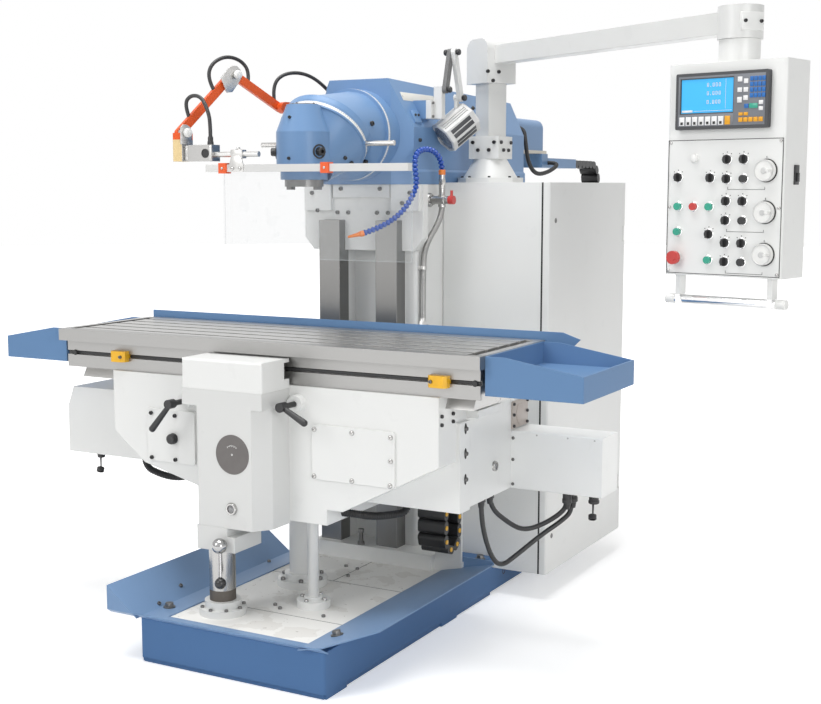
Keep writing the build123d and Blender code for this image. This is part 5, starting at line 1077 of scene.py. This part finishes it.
class MILL_OT_head(bpy.types.Operator):
    """Put scales on the head's two round joints, with its bolts, locks and top cover"""
    bl_idname = "mill.head"
    bl_label = "Head fittings"

    def execute(self, context):
        size = context.scene.mill_fittings
        marks = size.scale_marks
        self.scale("swivel_scale", "swivel_head", SWIVEL_AT, SWIVEL_WAY, SWIVEL_R, (7.0, 18.0), marks)
        self.scale("tilt_scale", "milling_head", TILT_AT, TILT_WAY, TILT_R, (6.0, 18.0), marks)
        self.bolts(size.cap_head / MM)
        cover = Shape()
        cover.turned((*NOSE_AT, NOSE_TOP), UP, (
            (50, -1), (50, 1.6), (48.6, 2.6), (18, 2.6), (16.5, -0.6)), 48)
        for at in round_about(NOSE_AT, 40, 4, NOSE_TOP + 2.4):
            cover.cap_screw(at, UP, 7.0)
        cover.piece("nose_cover", "milling_head", "disc_grey")
        return {"FINISHED"}

    def scale(self, name, body, at, along, radius, limits, count):
        """A pale band round a joint with long and short marks on it."""
        low, high = limits
        lathe(name, body, "white_plastic", at, along, (
            (radius - 2, low), (radius + 0.5, low + 0.5), (radius + 0.5, high - 0.5),
            (radius - 2, high)), 128)
        lines, here, start = Shape(), aim(at, along), low + 0.6
        for step in range(count):
            turn = Matrix.Rotation(math.tau * step / count, 4, "Z")
            tall = (high - low - 1.0) * (0.9 if step % 5 == 0 else 0.5)
            lines.block((radius + 0.2, -0.4, start), (radius + 0.8, 0.4, start + tall), place=here @ turn)
        lines.piece(name + "_marks", body, "mark_black")

    def bolts(self, cap):
        swivel, tilt, lock = Shape(), Shape(), Shape()
        for side in (-1, 1):
            quill, quill_way = (84 * side, -377, 1611), (0.92 * side, -0.4, 0)
            swivel.cap_screw((145 * side, -147, 1708), (0.97 * side, 0.02, 0.23), cap * 1.3)
            swivel.cap_screw((86 * side, -84, 1584), (0.22 * side, -0.67, -0.71), cap * 1.3)
            tilt.cap_screw((106 * side, -219, 1577), (0.78 * side, 0.01, -0.62), cap * 1.3)
            tilt.cap_screw((111 * side, -264, 1593), (0.89 * side, -0.22, -0.4), cap)
            tilt.turned(quill, quill_way, ((24, -6), (24, 0.6), (21, 1.4), (19, 0.4), (19, -4)), 32)
            lock.turned(quill, quill_way, (
                (15, -4), (15, 14, 6), (15, 16, 6), (12, 18), (7, 18, 6), (7, 8, 6), (0, 8)))
        tilt.cap_screw((-5, -414, 1721), (-0.09, -0.93, 0.37), cap * 0.8)
        tilt.cap_screw((2, -432, 1589), OUT, cap * 0.8)
        swivel.piece("swivel_bolts", "swivel_head", "black_plastic")
        tilt.piece("tilt_bolts", "milling_head", "black_plastic")
        lock.piece("quill_locks", "milling_head", "black_plastic")


class MILL_OT_column(bpy.types.Operator):
    """Add the column head's bolts, the plate and boss on the ram's side and the lamp foot's screws"""
    bl_idname = "mill.column"
    bl_label = "Column and ram fittings"

    def execute(self, context):
        cap = context.scene.mill_fittings.cap_head / MM
        bed = [(x, BED_PLATE_FACE, 1490) for x in (-83, 79)]
        gib = [(x, GIB_FACE, z) for x, z in ((-202, 1475), (-179, 1412), (172, 1440), (202, 1476))]
        head = [(x, COLUMN_HEAD_FACE, 1405) for x in (-105, -60, 60, 105)]
        screws("column_bolts", "frame", "dark_steel", bed + gib + head, OUT, cap * 1.1)
        plate = facing((148, 185, 1812), BACK, RAM_SLOPE)
        boss = facing((181, 100, 1740), BACK, RAM_SLOPE)
        strip = Shape(plate).block((-125, -16, -0.5), (125, 16, 0.9), 0.3)
        strip.piece("ram_side_plate", "ram", "cream_plate")
        rivets = [plate @ Vector((along, 0, 0.9)) for along in (-119, 119)]
        screws("ram_plate_rivets", "ram", "turned_steel", rivets, RAM_SLOPE_OUT, 5.0, Shape.dome_screw)
        Shape(boss).block((-24, -24, -4), (24, 24, 8), 3.0).piece("ram_boss", "ram", "blue_cast")
        plugs = Shape()
        for along in (-11, 11):
            plugs.cap_screw(boss @ Vector((along, 4, 8)), RAM_SLOPE_OUT, 9.0)
        plugs.cap_screw((198, 99, 1660), RIGHT, cap)
        plugs.piece("ram_screws", "ram", "black_plastic")
        pad = [(228, y, z) for y in (141, 185) for z in (1744, 1791)]
        screws("lamp_foot_screws", "ram", "dark_steel", pad, RIGHT, 10.0)
        return {"FINISHED"}


class MILL_OT_lamp(bpy.types.Operator):
    """Give the work lamp its clamping knobs, finned housing, hanger, window and switch"""
    bl_idname = "mill.lamp"
    bl_label = "Work lamp"

    def execute(self, context):
        for name, (body, at, way) in LAMP_KNOBS.items():
            lathe(name, body, "black_plastic", at, way, (
                (6, -0.5), (6, 3), (10, 4), (11, 7, 12), (11, 13, 12), (9, 15.5), (6, 16.4), (4.6, 16),
                (0, 16)), 48)
        self.head()
        return {"FINISHED"}

    def outline(self, flat, half, bare):
        """An eight-sided outline with three grooves on each side that isn't bare."""
        groove = 4.5
        points = []
        for side in range(8):
            turn = math.tau * side / 8
            steps = [(-half, 0.0)]
            for middle in (() if side in bare else (-9.0, 0.0, 9.0)):
                steps += [(middle - 1.6, 0.0), (middle - 1.2, groove)]
                steps += [(middle + 1.2, groove), (middle + 1.6, 0.0)]
            for along, deep in steps:
                points.append(((flat - deep) * math.cos(turn) - along * math.sin(turn),
                               (flat - deep) * math.sin(turn) + along * math.cos(turn)))
        return points

    def head(self):
        """A finned housing with its end caps and hanger, then its dark side strips, window and switch."""
        flat, half, reach, bare = 56.0, 23.2, 58.0, (2, 3)
        corner = flat / math.cos(math.pi / 8)
        upward = (UP - LAMP_WAY * LAMP_WAY.z).normalized()
        place = facing(LAMP_AT, upward, LAMP_WAY.cross(upward))
        turned_place = place @ Matrix.Rotation(math.pi / 8, 4, "Z")
        housing = Shape(place)
        housing.sheet(self.outline(flat, half, bare), 2 * reach, Matrix.Translation((0, 0, -reach)))
        caps = Shape(turned_place)
        caps.turned((0, 0, reach), UP, (
            (corner + 1, -3, 8), (corner + 1, 6, 8), (corner - 8, 12, 8), (0, 12)), 48)
        caps.turned((0, 0, -reach), -UP, (
            (corner + 1, -3, 8), (corner + 1, 5, 8), (corner - 4, 8, 8), (corner - 9, 8, 8),
            (corner - 11, 3, 8), (0, 3)), 48)
        hanger = Shape().block((262, 239, 1735), (274, 261, 1822), 4.0)
        hanger.turned((262, 250, 1812), RIGHT, ((13, -1), (13, 14), (5, 14), (5, 28)), 32)
        for thing in (housing.piece("lamp_housing", "lamp_head", "lamp_silver"),
                      caps.piece("lamp_end_caps", "lamp_head", "lamp_silver", 20.0),
                      hanger.piece("lamp_hanger", "lamp_head", "white_enamel")):
            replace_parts(thing, "lamp_head")
        strips = Shape(place)
        for side in bare:
            turn = Matrix.Rotation(math.tau * side / 8, 4, "Z")
            for low, high in ((-17, -2), (2, 17)):
                strips.block((flat - 1, low, -46), (flat + 0.8, high, 46), 0.4, turn)
        strips.piece("lamp_side_strips", "lamp_head", "dark_case")
        lathe("lamp_window", "lamp_head", "lamp_glass", (0, 0, -reach - 2), -UP, (
            (corner - 11, 0, 8), (corner - 11, 2.4, 8), (corner - 14, 3.4, 8), (0, 3.4)), 48, turned_place)
        lathe("lamp_rear_switch", "lamp_head", "black_plastic", (18, 14, reach + 11), UP, (
            (9, -1), (9, 5), (4, 6), (4, 16), (7, 17), (7, 24), (0, 25)), place=place)


class MILL_OT_guard(bpy.types.Operator):
    """Add the guard's joint plates, knobs, switch, clamp and the cables over its arms"""
    bl_idname = "mill.guard"
    bl_label = "Table guard"

    def execute(self, context):
        self.joint("elbow", "guard_arm_inner", ELBOW, (
            (-62, -13), (-40, -62), (-15, -59), (14, -25), (28, -6), (22, 18), (8, 30), (-12, 30), (-28, 22)))
        self.joint("wrist", "guard_arm_outer", WRIST - GUARD_WAY * 9, (
            (-19, -38), (26, -38), (26, 4), (20, 19), (6, 27), (-9, 27), (-19, 16)))
        lathe("wrist_spacer", "guard_arm_outer", "galvanised", WRIST + GUARD_WAY * 15, -GUARD_WAY, (
            (12, 0), (12, 24.5)))
        self.switch()
        self.clamp()
        self.cables()
        return {"FINISHED"}

    def joint(self, name, body, at, outline):
        thick = 3.5
        plate = Shape().sheet(outline, thick, facing(at, UP.cross(-GUARD_WAY), UP), 0.8)
        plate.piece(name + "_plate", body, "galvanised")
        lathe(name + "_knob", body, "white_plastic", at - GUARD_WAY * thick, -GUARD_WAY, (
            (8, -0.5), (8, 4), (13, 6), (15, 10), (15, 17), (12.5, 21), (7, 23), (0, 23.4)), 32)

    def switch(self):
        cap = Shape()
        cap.turned((-268, SWITCH_FRONT, 1606), OUT, (
            (15, -1), (15, 1.6), (14, 2.4), (12, 2.4), (11, 0.6), (0, 0.6)), 32)
        cap.turned((-262, -500, SWITCH_TOP), UP, (
            (11, -1), (11, 9, 6), (11, 11, 6), (9, 12), (9, 24), (7, 28), (5.2, 34)))
        cap.piece("switch_cap", "guard_arm_outer", "black_plastic")
        trim, face, middles, half = Shape(), SWITCH_FRONT - 2, (-344.5, -247.5), 4.5
        for x in middles:
            trim.block((x - half, face, 1584), (x + half, -478.5, 1632), 1.0)
        for z in (1590, 1626):
            for x in middles:
                trim.dome_screw((x, face, z), OUT, 6.0)
        trim.piece("switch_trim", "guard_arm_outer", "galvanised")

    def clamp(self):
        plate = ((-28, -12), (28, -12), (28, 12), (22, 30), (10, 40), (-10, 40), (-22, 30), (-28, 12))
        clamp = Shape().block((-173, -514, 1588), (-127, -486, 1617), 3.0)
        clamp.sheet(plate, 3.0, aim((-150, -512, 1557), OUT), 0.8)
        clamp.piece("rod_clamp", "guard_shield", "galvanised")
        fixings = Shape().hex_bolt((-150, -500, 1617), UP, 14.0)
        for x in (-165, -135):
            fixings.dome_screw((x, -515, 1556), OUT, 13.0)
        for x in (-205, 190):
            fixings.dome_screw((x, -517, 1557), OUT, 9.0)
        fixings.piece("clamp_screws", "guard_shield", "turned_steel")

    def cables(self):
        inner, outer = "guard_arm_inner", "guard_arm_outer"
        for name, points, body in (
                ("shoulder_cable", SHOULDER_CABLE, (inner, "ram", SHOULDER_CABLE[1], SHOULDER_CABLE[-2])),
                ("elbow_cable", ELBOW_CABLE, (outer, inner, ELBOW_CABLE[1], ELBOW_CABLE[-2])),
                ("switch_cable", SWITCH_CABLE, outer)):
            hose(name, points, plain(GUARD_CABLE_R), body, "cable_black", steps=32, sides=14)


class MILL_OT_cabinet(bpy.types.Operator):
    """Add the cabinet's locks, the bolts of its pedestal, arm and hub, and the hub's cover"""
    bl_idname = "mill.cabinet"
    bl_label = "Cabinet and arm fittings"

    def execute(self, context):
        cap = context.scene.mill_fittings.cap_head / MM
        locks = Shape()
        for z in (235, 806, 1378):
            locks.turned((631, 312, z), RIGHT, ((9, -1), (9, 1.2), (8, 2), (3, 2, 4), (3, 0.6, 4), (0, 0.6)))
        locks.piece("door_locks", "cabinet_door", "dark_steel")
        pedestal = Shape()
        for side in (-1, 1):
            for along, z in ((43, 1658), (22, 1630)):
                pedestal.cap_screw((STAND_AT.x + along * side, STAND_AT.y - STAND_HALF, z), OUT, cap)
                pedestal.cap_screw((STAND_AT.x + STAND_HALF, STAND_AT.y + along * side, z), RIGHT, cap)
        for at in round_about(STAND_AT, 104, 8, 1530, math.pi / 8):
            pedestal.cap_screw(at, UP, cap * 0.8)
        pedestal.piece("pedestal_bolts", "frame", "black_plastic")
        arm = ((359, 359, 1878), (371, 382, 1910), (348, 338, 1910))
        screws("arm_bolts", "control_arm", "black_plastic", arm, (0.88, -0.47, 0), cap)
        cover = facing(HUB_AT + HUB_OUT * 62 + UP * 1968, UP.cross(HUB_OUT), UP)
        lid = Shape(cover).block((-36, -26, -14), (36, 26, 6), 2.0)
        lid.piece("hub_cover", "control_arm", "white_enamel")
        hub = [cover @ Vector((along, 0, 6)) for along in (-26, 26)]
        screws("hub_screws", "control_arm", "black_plastic", hub, HUB_OUT, cap * 0.8)
        return {"FINISHED"}


class MILL_OT_pendant(bpy.types.Operator):
    """Fit the control panel: its lines, bezels, marks, pilot lamp, wheel rings, handle ends and latch"""
    bl_idname = "mill.pendant"
    bl_label = "Control panel"

    def execute(self, context):
        self.plate()
        self.bezels()
        self.wheels()
        handle = Shape(PENDANT)
        for side in (-1, 1):
            handle.turned((196.5 * side, -44, -694), (-side, 0, 0), (
                (13, 0), (15, 1.5), (15, 30), (14.2, 32)), 32)
        handle.piece("handle_ends", "pendant", "white_plastic")
        latch = Shape(PENDANT).block((188, -14, -352), (193, 14, -296), 1.5)
        latch.block((192, -6, -344), (199, 6, -318), 2.0)
        latch.piece("box_latch", "pendant", "black_plastic")
        return {"FINISHED"}

    def plate(self):
        """The border, the brackets under the three rows, the selectors' dots and the panel's screws."""
        lines = Shape(PENDANT).rectangle((-185, -615, 185, -221), 1.8, BORDER_DEPTH)
        left, right, line, tall, reach = 14, 132, 1.2, 8, 21
        for z in (-366, -488, -609):
            for corners in ((left, z, right, z + line), (left, z, left + line, z + tall),
                            (right - line, z, right, z + tall)):
                lines.pane(corners, BRACKET_DEPTH)
        for x, z in SELECTORS:
            for turn in (50, 90, 130):
                lean = math.radians(turn)
                at = (x + reach * math.cos(lean), PANEL + 0.2, z + reach * math.sin(lean))
                lines.turned(at, OUT, ((1.5, 0), (1.5, 0.6), (0, 0.6)), 10)
        lines.piece("panel_lines", "pendant", "mark_black")
        places = [(x, PANEL, z) for x in (-177, 177) for z in (-229, -418, -607)]
        screws("panel_screws", "pendant", "turned_steel", places, OUT, 9.5, Shape.dome_screw, PENDANT)

    def bezels(self):
        rings = Shape(PENDANT)
        for x, z in BUTTONS:
            rings.turned((x, PANEL, z), OUT, (
                (14.8, -1), (14.8, 2.4), (13.4, 3.6), (11.6, 3.6), (11.6, -0.5)), 32)
        for x, z in SELECTORS:
            rings.turned((x, PANEL, z), OUT, (
                (16.4, -1), (16.4, 2.4), (15.2, 3.6), (13.4, 3.6), (13.4, -0.5)), 32)
        rings.piece("button_bezels", "pendant", "chrome")
        lathe("pilot_lamp", "pendant", "white_plastic", (-95, PANEL, -275), OUT, (
            (14.8, -1), (14.8, 2.4), (13.4, 3.6), (12, 3.6), (12, 7), (10, 10.5), (5, 12.4),
            (0, 12.8)), 32, PENDANT)
        lathe("stop_collar", "pendant", "grey_plastic", (-150, PANEL, -568), OUT, (
            (17, -1), (17, 2.5), (15.6, 3.6), (11.8, 3.6), (11.8, -0.5)), 32, PENDANT)

    def wheels(self):
        for name, (x, z) in WHEELS.items():
            back = Shape(PENDANT)
            back.turned((x, PANEL, z), OUT, ((33.5, -1), (33.5, 2), (32.4, 3.2), (7, 3.2), (7, -0.5)), 48)
            back.pane((x - 0.8, z + 35, x + 0.8, z + 41), POINTER_DEPTH)
            back.piece("wheel_ring_" + name, "pendant", "mark_black")
            rim = Shape(PENDANT)
            rim.turned((x, WHEEL_FACE, z), OUT, (
                (30.6, -0.6), (30.6, 1.2), (29.6, 2.2), (27.8, 2.2), (26.8, 1.2), (26.8, -0.3)), 48)
            rim.turned((x, WHEEL_FACE, z), OUT, ((9, -0.5), (9, 1.8), (7.4, 3), (0, 3)), 32)
            rim.piece("wheel_face_" + name, "handwheel_" + name, "grey_plastic")


class MILL_OT_display(bpy.types.Operator):
    """Build the position display: its face, lit screen, plain digits and keys"""
    bl_idname = "mill.display"
    bl_label = "Position display"

    def execute(self, context):
        face = Shape(PENDANT)
        for corners in ((36, -183, 134, -39), (-144, -183, 36, -148), (-144, -45, 36, -39),
                        (-144, -148, -138.5, -45)):
            face.pane(corners, FACE_DEPTH, 0.3)
        face.piece("display_face", "pendant", "case_grey")
        screen = Shape(PENDANT).pane((-135.5, -144.5, 33.5, -47.5), SCREEN_DEPTH)
        screen.piece("display_screen", "pendant", "display_glow")
        self.digits()
        foot = [FOOT_KEY_X + FOOT_KEY_PITCH * step for step in range(FOOT_KEYS)]
        self.keys("white_keys", "panel_white", [(x, FOOT_KEY_Z, 17, 25) for x in foot] + [
            (55, -54, 14, 14), (74, -60, 13, 13), (55, -84, 14, 13), (74, -84, 14, 13), (55, -112, 14, 16),
            (74, -107, 14, 13), (122, -121, 13, 11), (122, -138, 13, 11)])
        self.keys("amber_keys", "key_amber", [
            (18.4, FOOT_KEY_Z, 17, 25), (60, -152, 13, 9), (76, -152, 13, 9)] + [
            (60 + 15.6 * step, FOOT_KEY_Z, 13, 13) for step in range(5)])
        pad = [(92 + 12.4 * across, -54 - 15.6 * down, 10.4, 12.6)
               for across in range(4) for down in range(4)]
        self.keys("blue_keys", "key_blue", pad + [(77, -130, 13, 12)])
        self.keys("green_keys", "green_plastic", [(99, -130, 26, 14)])
        marks = Shape(PENDANT)
        for x in foot:
            marks.pane((x - 4, -178, x + 4, -170), KEY_MARK_DEPTH)
        marks.piece("key_marks", "pendant", "mark_black")
        return {"FINISHED"}

    def digits(self):
        """Three rows of plain zeros, each with its point, and the lines of a status bar."""
        rows = Shape(PENDANT)
        wide, tall, line = 6.0, 11.0, 1.5
        for z in (-70.5, -94.5, -119.5):
            for x in (-52, -34, -24, -14):
                rows.rectangle((x, z, x + wide, z + tall), line, DIGIT_DEPTH)
            rows.pane((-41, z, -39, z + 2), DIGIT_DEPTH)
        for corners in ((-133, -142, -98, -136), (-94, -139.6, 30, -138.6), (8, -134, 8.8, -50)):
            rows.pane(corners, DIGIT_DEPTH)
        rows.piece("display_digits", "pendant", "panel_white")

    def keys(self, name, finish, places):
        keys = Shape(PENDANT)
        for x, z, wide, tall in places:
            keys.pane((x - wide / 2, z - tall / 2, x + wide / 2, z + tall / 2), KEY_DEPTH, 0.8)
        keys.piece(name, "pendant", finish)


class MILL_OT_stage(bpy.types.Operator):
    """Set the camera, the soft lamps and a plain pale floor"""
    bl_idname = "mill.stage"
    bl_label = "Stage"

    def execute(self, context):
        stage = context.scene.mill_stage
        context.scene.view_settings.view_transform = "Standard"
        self.camera(context.scene, stage)
        self.floor(stage)
        self.surroundings(context.scene, stage)
        self.lamps(stage)
        return {"FINISHED"}

    def camera(self, scene, stage):
        data = bpy.data.cameras.new("camera")
        data.lens = stage.lens
        data.sensor_width = 36.0
        data.clip_end = 100.0
        scene.camera = add_object("camera", data)
        scene.camera.location = stage.eye
        scene.camera.rotation_euler = (math.pi / 2 - stage.dip, 0.0, stage.turn)

    def floor(self, stage):
        """A wide round floor, lit by itself where the picture shows it and more so away from the machine."""
        near, fade, dim = 1.2, 2.4, (0.42, 0.42, 0.42)
        mesh = bmesh.new()
        bmesh.ops.create_circle(mesh, cap_ends=True, radius=30.0, segments=64)
        data = bpy.data.meshes.new("floor")
        mesh.to_mesh(data)
        mesh.free()
        floor = add_object("floor", data)
        finish = Finish("floor")
        colour = tuple(stage.floor)
        away = finish.node("ShaderNodeVectorMath", {"operation": "LENGTH"}, {0: finish.place}, out=1)
        open_floor = finish.node("ShaderNodeMath", {"operation": "DIVIDE", "use_clamp": True},
                                 {0: away - near, 1: fade})
        lift = finish.mix(open_floor, dim, (1.0, 1.0, 1.0))
        tone = finish.mix(finish.noise(0.6, 2.0), shade(colour, 0.99), colour)
        finish.surface(Base_Color=tone, Roughness=0.9, Emission_Strength=1.0,
                       Emission_Color=finish.mix(finish.seen(), (0.0, 0.0, 0.0), lift))
        data.materials.append(finish.material)

    def surroundings(self, scene, stage):
        """White all round in the picture, and a weaker light from all round on the machine."""
        scene.world = bpy.data.worlds.new("studio")
        scene.world.use_nodes = True
        net = Net(scene.world.node_tree)
        back = net.tree.nodes["Background"]
        net.feed(back.inputs["Color"], (1.0, 1.0, 1.0))
        net.feed(back.inputs["Strength"], net.seen() * (1.0 - stage.ambient) + stage.ambient)

    def lamps(self, stage):
        for name, at, target, size, power in (
                ("key", (-2.4, -6.0, 4.2), (0, -0.2, 1.0), 3.2, stage.key),
                ("top", (0.2, -0.9, 6.0), (0.2, -0.2, 1.0), 3.6, stage.top),
                ("fill", (6.0, -4.2, 2.4), (0.3, 0.2, 1.0), 3.0, stage.fill)):
            data = bpy.data.lights.new(name, "AREA")
            data.size = size
            data.energy = power
            lamp = add_object(name, data)
            lamp.location = at
            way = Vector(target) - Vector(at)
            lamp.rotation_euler = way.to_track_quat("-Z", "Y").to_euler()


class MILL_PT_panel(bpy.types.Panel):
    """Lists the steps of the dressing"""
    bl_label = "Milling machine"
    bl_idname = "MILL_PT_panel"
    bl_space_type = "VIEW_3D"
    bl_region_type = "UI"
    bl_category = "Mill"

    def draw(self, context):
        for step in STEPS:
            self.layout.operator(step.bl_idname)
        for group in (context.scene.mill_paint, context.scene.mill_fittings, context.scene.mill_stage):
            box = self.layout.box()
            for name in group.__annotations__:
                box.prop(group, name)


STEPS = (
    MILL_OT_finishes, MILL_OT_lines, MILL_OT_base, MILL_OT_knee, MILL_OT_table, MILL_OT_head, MILL_OT_column,
    MILL_OT_lamp, MILL_OT_guard, MILL_OT_cabinet, MILL_OT_pendant, MILL_OT_display, MILL_OT_stage)
CLASSES = (PaintSettings, FittingSettings, StageSettings, *STEPS, MILL_PT_panel)


def register():
    for item in CLASSES:
        bpy.utils.register_class(item)
    bpy.types.Scene.mill_paint = PointerProperty(type=PaintSettings)
    bpy.types.Scene.mill_fittings = PointerProperty(type=FittingSettings)
    bpy.types.Scene.mill_stage = PointerProperty(type=StageSettings)


def unregister():
    del bpy.types.Scene.mill_paint
    del bpy.types.Scene.mill_fittings
    del bpy.types.Scene.mill_stage
    for item in reversed(CLASSES):
        bpy.utils.unregister_class(item)


def main():
    register()
    for step in STEPS:
        group, name = step.bl_idname.split(".")
        getattr(getattr(bpy.ops, group), name)()


if __name__ == "__main__":
    main()
